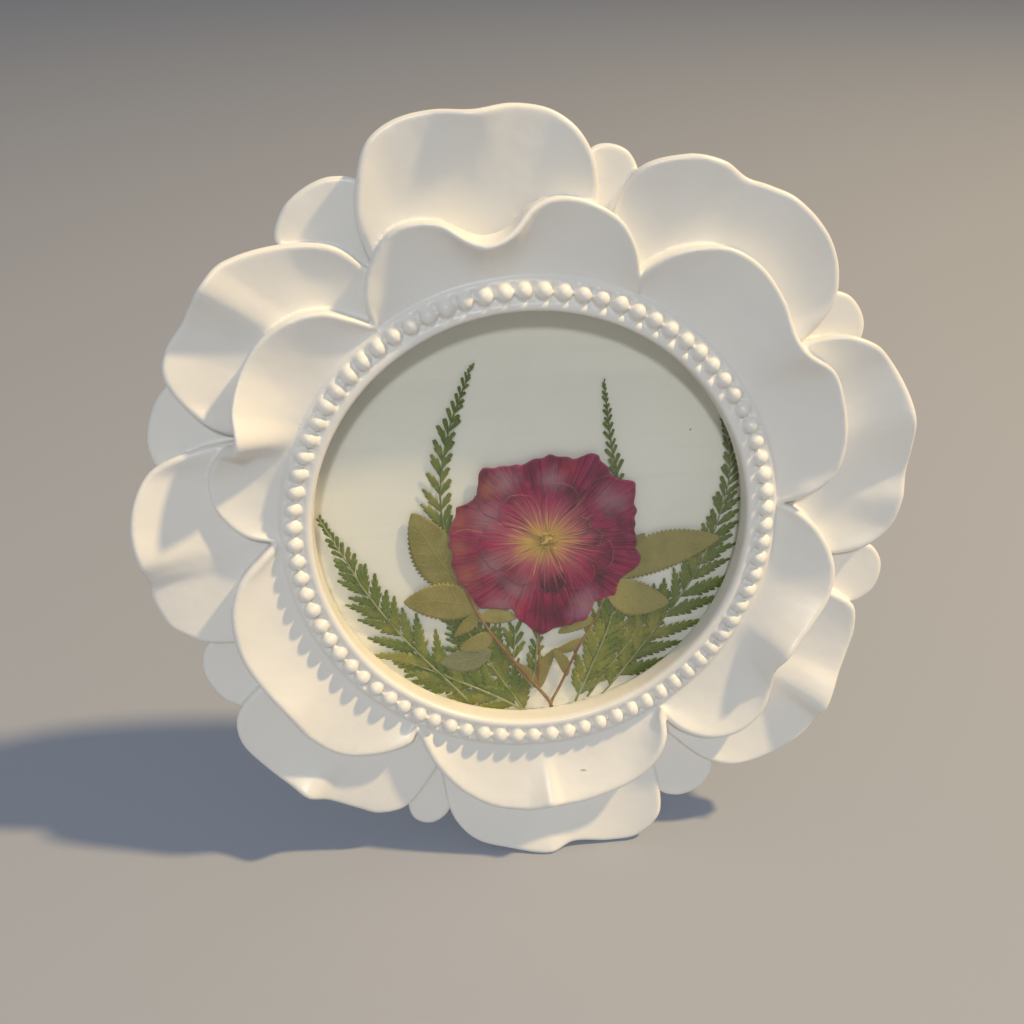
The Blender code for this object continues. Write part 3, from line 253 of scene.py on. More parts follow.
# fronds: space between pinnae as a share of their length, their angle to the midrib in degrees, and
# branches as (layer in the stack, midrib from tip to stalk, pinna lengths on its left and on its right
# from tip to stalk, share of the midrib that bears pinnae)
FRONDS = {
    "fern_left_arching": (0.47, 32, [
        (1, [(-47.9, 3.0), (-45.4, -2.2), (-43.0, -7.0), (-39.1, -15.1), (-34.2, -23.1), (-29.3, -30.1),
             (-24.7, -35.8), (-19.1, -42.4), (-15.6, -46.9)],
         (1.4, 3.0, 5.0, 7.4, 10.0, 12.5, 14.0, 12.0, 8.0),
         (1.6, 3.0, 5.0, 7.2, 8.6, 10.0, 12.5, 12.0, 8.0), 0.97)]),
    "fern_right_arching": (0.42, 35, [
        (0.5, [(44.2, 22.2), (46.2, 15.0), (46.6, 8.0), (45.2, 0.8), (43.3, -6.4), (39.5, -15.6),
               (35.2, -22.9), (29.4, -30.8), (22.8, -39.9), (17.4, -46.9)],
         (1.2, 2.6, 3.8, 5.0, 6.4, 9.6, 12.5, 14.0, 12.5, 9.0),
         (1.2, 2.6, 4.2, 6.0, 8.6, 12.5, 15.0, 15.5, 14.0, 11.0), 0.97)]),
    "fern_left_upright": (0.58, 29, [
        (1, [(-12.3, 37.0), (-15.1, 30.1), (-17.3, 24.4), (-18.8, 19.0), (-20.0, 12.6), (-20.5, 5.0),
             (-19.6, -2.6), (-16.9, -10.0), (-15.0, -15.0)],
         (1.1, 3.0, 5.0, 6.9, 8.0, 8.0), (1.1, 2.7, 4.2, 5.2, 6.2, 6.4), 0.9)]),
    "fern_right_upright": (0.60, 28, [
        (1, [(16.8, 32.2), (17.5, 26.8), (18.2, 21.0), (19.0, 15.6), (20.2, 10.4), (20.0, 4.0),
             (18.6, -4.0), (17.4, -12.0)],
         (1.0, 2.3, 3.4, 4.2, 4.8), (1.0, 2.2, 3.2, 4.0, 4.6), 0.9)]),
    "fern_low_left": (0.30, 36, [
        (0, [(-17.5, -24.6), (-14.4, -29.5), (-11.9, -33.8), (-8.4, -40.0), (-4.4, -46.6),
             (-2.2, -50.6)],
         (4.0, 9.0, 13.0, 14.0, 11.0), (3.0, 7.0, 12.0, 14.0, 12.0), 0.98),
        (0.3, [(-30.0, -34.6), (-24.0, -37.6), (-16.5, -41.6), (-8.0, -46.4), (-1.6, -50.8)],
         (4.0, 8.5, 11.5, 13.0, 11.0), (3.0, 8.0, 11.0, 12.5, 10.5), 0.98)]),
    "fern_low_right": (0.32, 34, [
        (1, [(20.4, -21.0), (18.2, -29.4), (15.6, -36.0), (13.6, -41.0), (10.4, -48.4)],
         (3.0, 7.5, 11.0, 11.0, 7.0), (3.0, 6.0, 8.0, 9.0, 7.0), 0.97),
        (0, [(32.0, -21.6), (26.5, -29.5), (20.5, -37.5), (13.5, -47.6)],
         (4.0, 9.0, 12.5, 12.0), (3.0, 8.0, 11.0, 9.0), 0.97)]),
    "fern_small_tip": (0.62, 26, [
        (1, [(-4.2, -28.4), (-4.4, -31.6), (-4.7, -35.4), (-4.9, -39.6)],
         (3.0, 5.5, 7.5, 7.5), (3.0, 5.0, 6.5, 7.5), 0.97),
        (0.6, [(1.4, -29.6), (1.0, -34.0), (0.4, -39.0), (-0.6, -44.0)],
         (3.0, 4.0, 5.5, 6.5), (2.6, 3.0, 4.0, 4.0), 0.85)]),
}
LEAF_THICKNESS = 0.1
TOOTH_PITCH = 1.6                      # along a pinna
PETAL_THICKNESS = 0.01
PETAL_PITCH = 0.014                    # from one rose petal up to the next
PLANT_BASE = -9.45                     # underside of the lowest plants
LAYER_PITCH = 0.35                     # from one layer of the stack up to the next


# ---------------------------------------------------------------- shader helpers
def set_inputs(tree, node, inputs):
    """Fill a node's inputs: a socket is linked, and a colour of three numbers gets its alpha."""
    for key, value in inputs.items():
        socket = node.inputs[key]
        if isinstance(value, bpy.types.NodeSocket):
            tree.links.new(value, socket)
        elif socket.type == "RGBA":
            socket.default_value = (*value, 1.0)
        else:
            socket.default_value = value


def wire(tree, kind, inputs=None, **settings):
    """Add a node with its settings and inputs."""
    node = tree.nodes.new(kind)
    for name, value in settings.items():
        setattr(node, name, value)
    set_inputs(tree, node, inputs or {})
    return node


def tree_of(*values):
    """The node tree that the first socket among the values belongs to."""
    return next(value.id_data for value in values if isinstance(value, bpy.types.NodeSocket))


def calc(operation, first, second=0.0):
    return wire(tree_of(first, second), "ShaderNodeMath", {0: first, 1: second},
                operation=operation).outputs[0]


def times(first, second):
    return calc("MULTIPLY", first, second)


def plus(first, second):
    return calc("ADD", first, second)


def minus(first, second):
    return calc("SUBTRACT", first, second)


def mixed(factor, first, second):
    return wire(tree_of(factor, first, second), "ShaderNodeMix", {0: factor, 6: first, 7: second},
                data_type="RGBA").outputs[2]


def tinted(colour, tint, mask, strength):
    """The colour, turned towards the tint as far as mask times strength says."""
    return mixed(times(mask, strength), colour, tint)


def ease(value, low, high):
    """0 below low and 1 above high, smooth between them; low may be the larger."""
    return wire(value.id_data, "ShaderNodeMapRange",
                {"Value": value, "From Min": low, "From Max": high},
                interpolation_type="SMOOTHSTEP").outputs[0]


def fine_noise(vector, scale, detail=3.0, roughness=0.5):
    inputs = {"Vector": vector, "Scale": scale, "Detail": detail, "Roughness": roughness}
    return wire(vector.id_data, "ShaderNodeTexNoise", inputs).outputs["Fac"]


def bump(height, strength, distance):
    inputs = {"Height": height, "Strength": strength, "Distance": distance}
    return wire(height.id_data, "ShaderNodeBump", inputs).outputs["Normal"]


def object_place(tree):
    return wire(tree, "ShaderNodeTexCoord").outputs["Object"]


def surface_map(tree):
    """A plant's own surface map, and its parts: X runs across the blade and Y along it."""
    surface = wire(tree, "ShaderNodeUVMap", uv_map="surface").outputs["UV"]
    return surface, wire(tree, "ShaderNodeSeparateXYZ", {0: surface}).outputs


def plant_tone(tree):
    """The three tones that a plant's mesh carries as red, green and blue."""
    colour = wire(tree, "ShaderNodeAttribute", attribute_name="tone").outputs["Color"]
    return wire(tree, "ShaderNodeSeparateColor", {0: colour}).outputs


def new_material(name):
    material = bpy.data.materials.new(name)
    material.use_nodes = True
    tree = material.node_tree
    return material, tree, tree.nodes["Principled BSDF"]


def new_group(name, inputs, outputs):
    """A node group. Its inputs are labels with values, and a vector that has none gets None."""
    group = bpy.data.node_groups.new(name, "ShaderNodeTree")
    for label, value in inputs.items():
        kind = "NodeSocketFloat" if isinstance(value, float) else "NodeSocketVector"
        socket = group.interface.new_socket(name=label, in_out="INPUT", socket_type=kind)
        if value is not None:
            socket.default_value = value
    for label in outputs:
        group.interface.new_socket(name=label, in_out="OUTPUT", socket_type="NodeSocketFloat")
    return group, group.nodes.new("NodeGroupInput").outputs, group.nodes.new("NodeGroupOutput").inputs


def make_grain_group():
    """Fine unevenness of a surface: a height for bump and a slow tone that varies over the piece."""
    group, given, result = new_group(
        "surface_grain", {"Vector": None, "Fine scale": 900.0, "Slow scale": 30.0}, ("Height", "Tone"))
    fine = fine_noise(given["Vector"], given["Fine scale"], 4.0, 0.6)
    slow = fine_noise(given["Vector"], given["Slow scale"], 3.0, 0.55)
    group.links.new(fine, result["Height"])
    group.links.new(slow, result["Tone"])
    return group


def make_vein_group():
    """Midrib and side veins of a pressed leaf on its own surface map."""
    group, given, result = new_group(
        "leaf_veins", {"Count": 9.0, "Slant": 2.2, "Midrib": 0.05, "Vein width": 0.12}, ("Vein",))
    surface, parts = surface_map(group)
    from_middle = calc("ABSOLUTE", times(minus(parts["X"], 0.5), 2.0))
    wobble = times(fine_noise(surface, 9.0, 2.0), 0.5)
    phase = minus(times(parts["Y"], given["Count"]), times(from_middle, given["Slant"]))
    wave = calc("FRACT", plus(phase, wobble))
    from_vein = calc("ABSOLUTE", minus(wave, 0.5))
    side = times(ease(from_vein, given["Vein width"], 0.0), ease(from_middle, 1.0, 0.6))
    midrib = ease(from_middle, given["Midrib"], 0.0)
    group.links.new(calc("MAXIMUM", times(side, 0.6), midrib), result["Vein"])
    return group


def make_spot_group(name, noise_scale, unevenness, outer, inner):
    """A spot with an uneven edge, round Centre, and the distance from Centre in units of Size.

    Its mask is 0 past outer and 1 within inner, both in the same units.
    """
    group, given, result = new_group(
        name, {"Vector": None, "Centre": (0.0, 0.0, 0.0), "Size": (0.001, 0.001, 0.001)},
        ("Mask", "Distance"))
    offset = wire(group, "ShaderNodeVectorMath", {0: given["Vector"], 1: given["Centre"]},
                  operation="SUBTRACT").outputs[0]
    scaled = wire(group, "ShaderNodeVectorMath", {0: offset, 1: given["Size"]},
                  operation="DIVIDE").outputs[0]
    distance = wire(group, "ShaderNodeVectorMath", {0: scaled}, operation="LENGTH").outputs["Value"]
    uneven = plus(distance, times(fine_noise(given["Vector"], noise_scale), unevenness))
    group.links.new(ease(uneven, outer, inner), result["Mask"])
    group.links.new(distance, result["Distance"])
    return group


GRAIN = make_grain_group()
VEINS = make_vein_group()
# (scale and strength of the edge's noise, then where the mask is 0 and where it is 1)
MARK = make_spot_group("small_mark", 2500.0, 0.5, 1.3, 0.8)
PATCH = make_spot_group("soft_patch", 300.0, 1.3, 2.15, 0.55)


def use_group(tree, group, inputs):
    return wire(tree, "ShaderNodeGroup", inputs, node_tree=group).outputs


def spot(group, place, centre, size):
    """The outputs of a mark or patch whose centre is given in the frame's plane, in mm."""
    return use_group(place.id_data, group,
                     {"Vector": place, "Centre": LAYOUT @ Vector(centre), "Size": size})


# ---------------------------------------------------------------- materials
def white_paint():
    """Satin white paint on cast resin: soft orange peel, faint warm and cool clouds, a few nicks."""
    material, tree, shader = new_material("satin_white_paint")
    place = object_place(tree)
    grain = use_group(tree, GRAIN, {"Vector": place, "Fine scale": 620.0, "Slow scale": 26.0})
    colour = mixed(ease(grain["Tone"], 0.35, 0.65), (0.80, 0.795, 0.775), (0.84, 0.83, 0.805))
    for centre, size in PAINT_NICKS:
        nick = spot(MARK, place, centre, size)["Mask"]
        colour = tinted(colour, (0.16, 0.14, 0.12), nick, 0.55)
    gloss = wire(tree, "ShaderNodeMapRange", {"Value": grain["Tone"], "To Min": 0.28, "To Max": 0.42})
    peel = plus(fine_noise(place, 105.0, 2.0), times(grain["Height"], 0.07))
    set_inputs(tree, shader, {"Base Color": colour, "Roughness": gloss.outputs[0],
                              "Normal": bump(peel, 1.0, 0.0003)})
    return material


def clear_glass():
    """Window glass that lets the light through to the plants instead of casting a shadow."""
    material, tree, shader = new_material("window_glass")
    set_inputs(tree, shader, {"Base Color": (0.985, 0.995, 0.985), "Roughness": 0.02, "IOR": 1.5,
                              "Specular IOR Level": 0.12, "Transmission Weight": 1.0})
    path = wire(tree, "ShaderNodeLightPath").outputs
    passes = calc("MAXIMUM", path["Is Shadow Ray"], path["Is Diffuse Ray"])
    clear = wire(tree, "ShaderNodeBsdfTransparent", {"Color": (0.97, 0.98, 0.97)})
    mix = wire(tree, "ShaderNodeMixShader", {0: passes, 1: shader.outputs[0], 2: clear.outputs[0]})
    tree.links.new(mix.outputs[0], tree.nodes["Material Output"].inputs["Surface"])
    return material


def card_stock():
    """Off-white card with long brushed marks, faint fibres and one dark speck."""
    material, tree, shader = new_material("pale_card_stock")
    place = object_place(tree)
    drawn_out = wire(tree, "ShaderNodeMapping", {"Vector": place, "Scale": (0.12, 1.0, 1.0),
                                                 "Rotation": (0.0, math.radians(-14), 0.0)}).outputs[0]
    strokes = fine_noise(drawn_out, 420.0, 5.0, 0.6)
    fibres = fine_noise(place, 1500.0, 3.0, 0.6)
    clouds = fine_noise(place, 22.0, 3.0, 0.5)
    colour = mixed(ease(clouds, 0.35, 0.65), (0.83, 0.805, 0.735), (0.88, 0.85, 0.78))
    colour = tinted(colour, (0.74, 0.72, 0.65), ease(strokes, 0.52, 0.75), 0.22)
    speck = spot(MARK, place, *CARD_SPECK)["Mask"]
    colour = tinted(colour, (0.10, 0.09, 0.06), speck, 0.8)
    height = plus(strokes, times(fibres, 0.4))
    set_inputs(tree, shader, {"Base Color": colour, "Roughness": 0.72,
                              "Normal": bump(height, 0.25, 0.0003)})
    return material


def rose_petals():
    """Pressed petal: fine radial streaks, a yellow root, a darker tip, blotches of age and pale patches
    of painted reflection.
    """
    material, tree, shader = new_material("pressed_rose_petal")
    parts = surface_map(tree)[1]
    tone = plant_tone(tree)
    place = object_place(tree)

    def along_petal(across_scale, along_scale, seed, detail):
        """Noise drawn out along the petal, different on each petal."""
        vector = wire(tree, "ShaderNodeCombineXYZ", {0: times(parts["X"], across_scale),
                                                     1: times(parts["Y"], along_scale),
                                                     2: times(tone["Red"], seed)}).outputs[0]
        return fine_noise(vector, 1.0, detail, 0.62)

    streaks = along_petal(24.0, 1.1, 37.0, 5.0)
    threads = along_petal(75.0, 1.6, 53.0, 3.0)
    folds = along_petal(6.0, 1.4, 91.0, 3.0)
    blotches = fine_noise(place, 130.0, 5.0, 0.65)
    from_middle = calc("ABSOLUTE", minus(parts["X"], 0.5))
    along = parts["Y"]
    colour = mixed(ease(streaks, 0.38, 0.60), (0.112, 0.003, 0.022), (0.345, 0.008, 0.086))
    colour = tinted(colour, (0.46, 0.055, 0.17), ease(threads, 0.5, 0.64), 0.45)
    colour = tinted(colour, (0.075, 0.003, 0.022), ease(blotches, 0.48, 0.62), 0.6)
    # the petals on the left have gone brownish
    aged = times(tone["Blue"], ease(folds, 0.35, 0.75))
    colour = tinted(colour, (0.27, 0.075, 0.062), aged, 0.6)
    tip = ease(plus(along, times(folds, 0.7)), 0.92, 1.28)
    colour = tinted(colour, DARK_ROSE, tip, tone["Green"])
    # patches of age, then last the pale patches of painted reflection
    for tint, spots in ROSE_AGE_AND_REFLECTION_PATCHES:
        mask = 0.0
        for (x, y), radius in spots:
            patch = spot(PATCH, place, (x, y, ROSE_TOP), (radius * MM,) * 3)["Mask"]
            mask = calc("MAXIMUM", patch, mask)
        colour = tinted(colour, tint, mask, 0.70)
    # pink, then yellow streaks run out from the heart
    heart = spot(PATCH, place, ROSE_CENTRE + Vector((-0.6, -0.8, ROSE_TOP)), HEART_SIZE)["Distance"]
    heart = plus(heart, times(minus(streaks, 0.5), 3.3))
    colour = tinted(colour, (0.50, 0.16, 0.19), ease(heart, 1.65, 0.8), 0.55)
    colour = tinted(colour, (0.60, 0.43, 0.085), ease(heart, 0.95, 0.25), 0.90)
    side_rims = times(ease(from_middle, 0.45, 0.49), ease(along, 0.95, 0.5))
    rim = calc("MAXIMUM", side_rims, ease(along, 0.970, 0.995))
    colour = tinted(colour, (0.55, 0.20, 0.24), rim, 0.24)
    height = plus(times(streaks, 0.7), folds)
    set_inputs(tree, shader, {"Base Color": colour, "Roughness": 0.65, "Specular IOR Level": 0.15,
                              "Normal": bump(height, 0.6, 0.0004)})
    return material


def leaf_surface(name, dark, light, vein, count, slant, vein_share):
    """Pressed leaf: clouded between two greens, paler veins, dry and matte.

    A blade's tone holds its age as red, its greyness as green and its brownness as blue.
    """
    material, tree, shader = new_material(name)
    place = object_place(tree)
    veins = use_group(tree, VEINS, {"Count": count, "Slant": slant})["Vein"]
    tone = plant_tone(tree)
    grain = use_group(tree, GRAIN, {"Vector": place, "Fine scale": 1800.0, "Slow scale": 160.0})
    clouds = times(minus(grain["Tone"], 0.23), 1.3)
    shade = plus(clouds, times(tone["Red"], 0.6))
    net = wire(tree, "ShaderNodeTexVoronoi", {"Vector": place, "Scale": 1200.0},
               feature="DISTANCE_TO_EDGE").outputs["Distance"]
    colour = mixed(ease(shade, 0.35, 0.95), dark, light)
    colour = tinted(colour, dark, ease(grain["Height"], 0.5, 0.66), 0.4)
    colour = tinted(colour, (0.17, 0.21, 0.14), tone["Green"], 0.8)
    colour = tinted(colour, (0.36, 0.25, 0.06), tone["Blue"], 0.7)
    colour = tinted(colour, vein, ease(net, 0.14, 0.02), 0.22)
    colour = tinted(colour, vein, veins, vein_share)
    height = plus(veins, times(grain["Height"], 0.5))
    set_inputs(tree, shader, {"Base Color": colour, "Roughness": 0.65, "Specular IOR Level": 0.2,
                              "Normal": bump(height, 0.35, 0.0002)})
    return material


def midrib_surface():
    """Pale, worn midribs of the fronds: red is how pale they are."""
    material, tree, shader = new_material("pale_midrib")
    paleness = plant_tone(tree)["Red"]
    worn = times(paleness, ease(fine_noise(object_place(tree), 240.0), 0.3, 0.6))
    set_inputs(tree, shader, {"Base Color": mixed(worn, (0.13, 0.17, 0.03), (0.40, 0.41, 0.21)),
                              "Roughness": 0.6})
    return material


def stem_surface():
    """Dry rose stem, between red-brown and straw."""
    material, tree, shader = new_material("dry_stem")
    place = object_place(tree)
    tone = fine_noise(place, 160.0, 3.0)
    colour = mixed(ease(tone, 0.4, 0.62), (0.22, 0.085, 0.05), (0.28, 0.18, 0.075))
    set_inputs(tree, shader, {"Base Color": colour, "Roughness": 0.6,
                              "Normal": bump(fine_noise(place, 1400.0), 0.4, 0.0002)})
    return material


def stamen_surface():
    """Dried stamens, between brown and dull yellow."""
    material, tree, shader = new_material("dried_stamens")
    tone = fine_noise(object_place(tree), 900.0, 3.0)
    colour = mixed(ease(tone, 0.42, 0.6), (0.30, 0.19, 0.05), (0.60, 0.43, 0.13))
    set_inputs(tree, shader, {"Base Color": colour, "Roughness": 0.7,
                              "Normal": bump(tone, 0.5, 0.0003)})
    return material


def black_velvet():
    """Flocked board: near black with a soft nap that brushes lighter in patches."""
    material, tree, shader = new_material("black_velvet_flock")
    grain = use_group(tree, GRAIN, {"Vector": object_place(tree), "Fine scale": 3200.0,
                                    "Slow scale": 45.0})
    colour = mixed(ease(grain["Tone"], 0.4, 0.65), (0.010, 0.010, 0.011), (0.026, 0.026, 0.029))
    set_inputs(tree, shader, {"Base Color": colour, "Roughness": 0.95, "Specular IOR Level": 0.1,
                              "Sheen Weight": 0.6, "Sheen Roughness": 0.45,
                              "Normal": bump(grain["Height"], 0.7, 0.0004)})
    return material


def plated_steel():
    """Zinc-plated stampings: fine brushed lines and slightly dull patches."""
    material, tree, shader = new_material("plated_steel")
    place = object_place(tree)
    lines = wire(tree, "ShaderNodeMapping", {"Vector": place, "Scale": (0.06, 1.0, 1.0)}).outputs[0]
    brushed = fine_noise(lines, 3500.0, 3.0)
    grain = use_group(tree, GRAIN, {"Vector": place, "Fine scale": 2000.0, "Slow scale": 220.0})
    colour = mixed(ease(grain["Tone"], 0.35, 0.65), (0.52, 0.52, 0.53), (0.68, 0.68, 0.69))
    dullness = plus(times(grain["Tone"], 0.25), 0.2)
    set_inputs(tree, shader, {"Base Color": colour, "Metallic": 1.0, "Roughness": dullness,
                              "Normal": bump(brushed, 0.15, 0.0001)})
    return material


def floor_surface():
    material, tree, shader = new_material("studio_floor")
    set_inputs(tree, shader, {"Base Color": (0.35, 0.38, 0.46), "Roughness": 0.85})
    return material


# ---------------------------------------------------------------- shapes
def polar(radius, degrees):
    angle = math.radians(degrees)
    return radius * math.cos(angle), radius * math.sin(angle)


def smooth_line(points, count):
    """Evenly spaced points on a smooth curve through the given ones."""
    points = [Vector(point) for point in points]
    spans = [max((after - before).length, 1e-6) for before, after in zip(points, points[1:])]
    slopes = []
    for i in range(len(points)):
        low, high = max(i - 1, 0), min(i + 1, len(points) - 1)
        slopes.append((points[high] - points[low]) / sum(spans[low:high]))
    total = sum(spans)
    line = []
    for step in range(count):
        place = total * step / (count - 1)
        i = 0
        while i < len(spans) - 1 and place > spans[i]:
            place -= spans[i]
            i += 1
        span = spans[i]
        t = min(place / span, 1.0)
        line.append(points[i] * (2 * t ** 3 - 3 * t ** 2 + 1)
                    + slopes[i] * span * (t ** 3 - 2 * t ** 2 + t)
                    + points[i + 1] * (3 * t ** 2 - 2 * t ** 3)
                    + slopes[i + 1] * span * (t ** 3 - t ** 2))
    return line


def turn_section(bm, section, steps, closed):
    """Turn a section of (radius, height) round the window's axis."""
    verts = [bm.verts.new((radius, 0, height)) for radius, height in section]
    ends = verts[1:] + verts[:1] if closed else verts[1:]
    edges = [bm.edges.new(pair) for pair in zip(verts, ends)]
    bmesh.ops.spin(bm, geom=verts + edges, cent=(0, 0, 0), axis=(0, 0, 1), angle=2 * math.pi,
                   steps=steps, use_merge=True)


def turned_solid(section, steps):
    """Turn an open section that starts and ends on the axis into a closed solid."""
    bm = bmesh.new()
    turn_section(bm, section, steps, closed=False)
    bmesh.ops.remove_doubles(bm, verts=bm.verts, dist=1e-4)
    bmesh.ops.recalc_face_normals(bm, faces=bm.faces)
    return bm


def mesh_of(name, bm):
    """Pour a finished bmesh into a new mesh."""
    mesh = bpy.data.meshes.new(name)
    bm.to_mesh(mesh)
    bm.free()
    return mesh


def link_object(name, data):
    obj = bpy.data.objects.new(name, data)
    bpy.context.scene.collection.objects.link(obj)
    return obj


def new_piece(name, bm, material, node, body="root", layout=LAYOUT, sharp=0):
    """Give a finished shape its place, material and body; it stands for the CAD node."""
    mesh = mesh_of(name, bm)
    mesh.transform(layout)
    mesh.shade_smooth()
    if sharp:
        mesh.set_sharp_from_angle(angle=math.radians(sharp))
    mesh.materials.append(material)
    piece = link_object(name, mesh)
    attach(piece, body)
    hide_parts(node)
    return piece


# ---------------------------------------------------------------- the casting
def petal_section(start, edge, flare, outward, level, form):
    """Closed section of a petal from its root to its rim and back along the underside.

    level is the petal's usual rim height; what the rim waves above or below it fades early.
    form is (depths at root and rim, radius of the rim, cup, fold power).
    """
    depths, roll, cup, fold_power = form
    fold = edge.z - level
    span = (edge - start).xy.length
    radius = min(roll, WIDEST_ROLL * max(span, 1.0))
    rise = cup * (level - start.z) + fold_power * fold
    lean = max(LEAST_LEAN, min(math.atan2(rise, max(span, SHORTEST_SPAN)), MOST_LEAN))
    centre = edge - outward * radius - UP * radius

    def on_roll(angle):
        return centre + (outward * math.sin(angle) + UP * math.cos(angle)) * radius

    face_end = on_roll(-lean)
    points = []
    for step in range(FACE_STEPS):
        share = step / FACE_STEPS
        place = start.lerp(face_end, share)
        place.z = start.z + (face_end.z - fold - start.z) * share ** cup + fold * share ** fold_power
        points.append(place)
    last = math.radians(ROLL_END - ROLL_END_PER_FLARE * flare)
    for step in range(ROLL_STEPS + 1):
        points.append(on_roll(-lean + (last + lean) * step / ROLL_STEPS))
    foot = edge + outward * (flare - UNDERCUT)
    points.append(foot - UP * (depths[1] - FOOT_BEVEL))
    points.append(foot - outward * FOOT_BEVEL - UP * depths[1])
    points.append(start - UP * depths[0])
    return points


def loft(bm, sections):
    """A tube through equal closed sections."""
    rows, columns = len(sections), len(sections[0])
    made = bmesh.ops.create_grid(bm, x_segments=columns, y_segments=rows - 1, size=0.5)["verts"]
    for vert in made:
        column = round((vert.co.x + 0.5) * columns)
        row = round((vert.co.y + 0.5) * (rows - 1))
        vert.co = sections[row][column % columns]


def petal_shell(bm, outline, root, form):
    """One petal, lofted from the section at each point of its rim."""
    root_radius, root_height = root
    corners = [(*polar(point[1], point[0]), point[2], point[3] if len(point) > 3 else 0.0)
               for point in outline]
    rim = smooth_line(corners, RIM_STEPS + 1)
    first, last = outline[0][0], outline[-1][0]
    inside = [point[2] for point in outline[2:-2]]
    usual = sum(inside) / len(inside)
    sections = []
    for i, point in enumerate(rim):
        level = usual + (point.z - usual) * abs(2 * i / RIM_STEPS - 1) ** 4
        forward = rim[min(i + 1, RIM_STEPS)] - rim[max(i - 1, 0)]
        outward = Vector((forward.y, -forward.x, 0)).normalized()
        start = Vector((*polar(root_radius, first + (last - first) * i / RIM_STEPS), root_height))
        sections.append(petal_section(start, point.to_3d(), max(point[3], 0.0), outward, level, form))
    loft(bm, sections)


def back_petal_outline(middle, reach, half_width):
    shape = ((-1.15, 64), (-1.0, reach - 5.0), (-0.55, reach - 1.0), (0, reach),
             (0.55, reach - 1.0), (1.0, reach - 5.0), (1.15, 64))
    return [(middle + side * half_width, radius, BACK_PETAL_HEIGHT) for side, radius in shape]


def moulding_section():
    """Section of the ring: inner wall, rounded lip, bead groove, shoulder, flat back and pocket."""
    lip = [(OPENING_RADIUS, -0.9), (OPENING_RADIUS + 0.1, -0.1), (49.6, 0.42), (50.2, 0.62),
           (50.8, 0.52), (51.3, 0.15), (51.7, -0.3), (52.2, -0.6)]
    groove = [(53.3, -0.8), (54.4, -0.65), (54.9, -0.4), (55.4, -0.05), (55.9, -0.25), (56.5, -1.2)]
    core = [(58.5, -4.0), (68.0, -6.5), (69.0, -9.0), (66.0, BACK_PLANE)]
    pocket = [(POCKET_RADIUS, BACK_PLANE), (POCKET_RADIUS, SHOULDER), (OPENING_RADIUS, SHOULDER)]
    return lip + groove + core + pocket


def bead_row(chance):
    """The round beads, each a little different, in a mesh of their own."""
    bm = bmesh.new()
    for number in range(BEAD_COUNT):
        degrees = FIRST_BEAD + 360 * number / BEAD_COUNT + chance.uniform(-0.12, 0.12)
        made = bmesh.ops.create_uvsphere(bm, u_segments=20, v_segments=12, radius=1.0)["verts"]
        size = 1 + chance.uniform(-0.035, 0.035)
        x, y = polar(BEAD_RING_RADIUS + chance.uniform(-0.08, 0.08), degrees)
        matrix = (Matrix.Translation((x, y, 0)) @ Matrix.Rotation(math.radians(degrees), 4, "Z")
                  @ Matrix.Diagonal((*(half * size for half in BEAD_HALF_SIZES), 1.0)))
        bmesh.ops.transform(bm, matrix=matrix, verts=made)
    return mesh_of("bead_row", bm)


def evaluated_mesh(obj):
    bpy.context.view_layer.update()
    return bpy.data.meshes.new_from_object(obj.evaluated_get(bpy.context.evaluated_depsgraph_get()))


def fused_mesh(bm):
    """Melt overlapping closed shells into one skin, as paint does, and thin it evenly."""
    worker = link_object("worker", mesh_of("shells", bm))
    melt = worker.modifiers.new("melt", "REMESH")
    melt.mode = "VOXEL"
    melt.voxel_size = VOXEL
    settle = worker.modifiers.new("settle", "SMOOTH")
    settle.factor = 0.5
    settle.iterations = 3
    skin = evaluated_mesh(worker)
    worker.modifiers.clear()
    worker.data = skin
    skin.calc_loop_triangles()
    lighten = worker.modifiers.new("lighten", "DECIMATE")
    lighten.ratio = min(1.0, CASTING_TRIANGLES / len(skin.loop_triangles))
    thinned = evaluated_mesh(worker)
    bpy.data.objects.remove(worker, do_unlink=True)
    return thinned


def fill_holes(bm):
    bmesh.ops.holes_fill(bm, edges=[edge for edge in bm.edges if edge.is_boundary], sides=0)


def make_casting(paint):
    """Ring, beads and petals in one casting, cut flat where it stands."""
    bm = bmesh.new()
    turn_section(bm, moulding_section(), RING_STEPS, closed=True)
    for name, outline in INNER_PETALS.items():
        petal_shell(bm, outline, INNER_ROOT, (INNER_DEPTHS, INNER_ROLLS[name], INNER_CUP,
                                              INNER_FOLDS[name]))
    for name, outline in OUTER_PETALS.items():
        depths = BOTTOM_DEPTHS if name == "bottom" else OUTER_DEPTHS
        petal_shell(bm, outline, OUTER_ROOT, (depths, OUTER_ROLL, OUTER_CUP, OUTER_FOLDS[name]))
    for shape in BACK_PETALS.values():
        petal_shell(bm, back_petal_outline(*shape), BACK_ROOT, (BACK_DEPTHS, BACK_ROLL, BACK_CUP, 1.0))
    bmesh.ops.remove_doubles(bm, verts=bm.verts, dist=1e-5)
    fill_holes(bm)
    bm.from_mesh(bead_row(random.Random(7)))
    bmesh.ops.recalc_face_normals(bm, faces=bm.faces)
    mesh = fused_mesh(bm)
    mesh.transform(LAYOUT)
    bm = bmesh.new()
    bm.from_mesh(mesh)
    bmesh.ops.bisect_plane(bm, geom=bm.verts[:] + bm.edges[:] + bm.faces[:], dist=1e-6,
                           plane_co=(0, 0, 0), plane_no=(0, 0, 1), clear_inner=True)
    fill_holes(bm)
    bmesh.ops.triangulate(bm, faces=[face for face in bm.faces if len(face.verts) > 4])
    new_piece("flower_casting", bm, paint, "flower_frame",
              layout=Matrix.Identity(4), sharp=50)


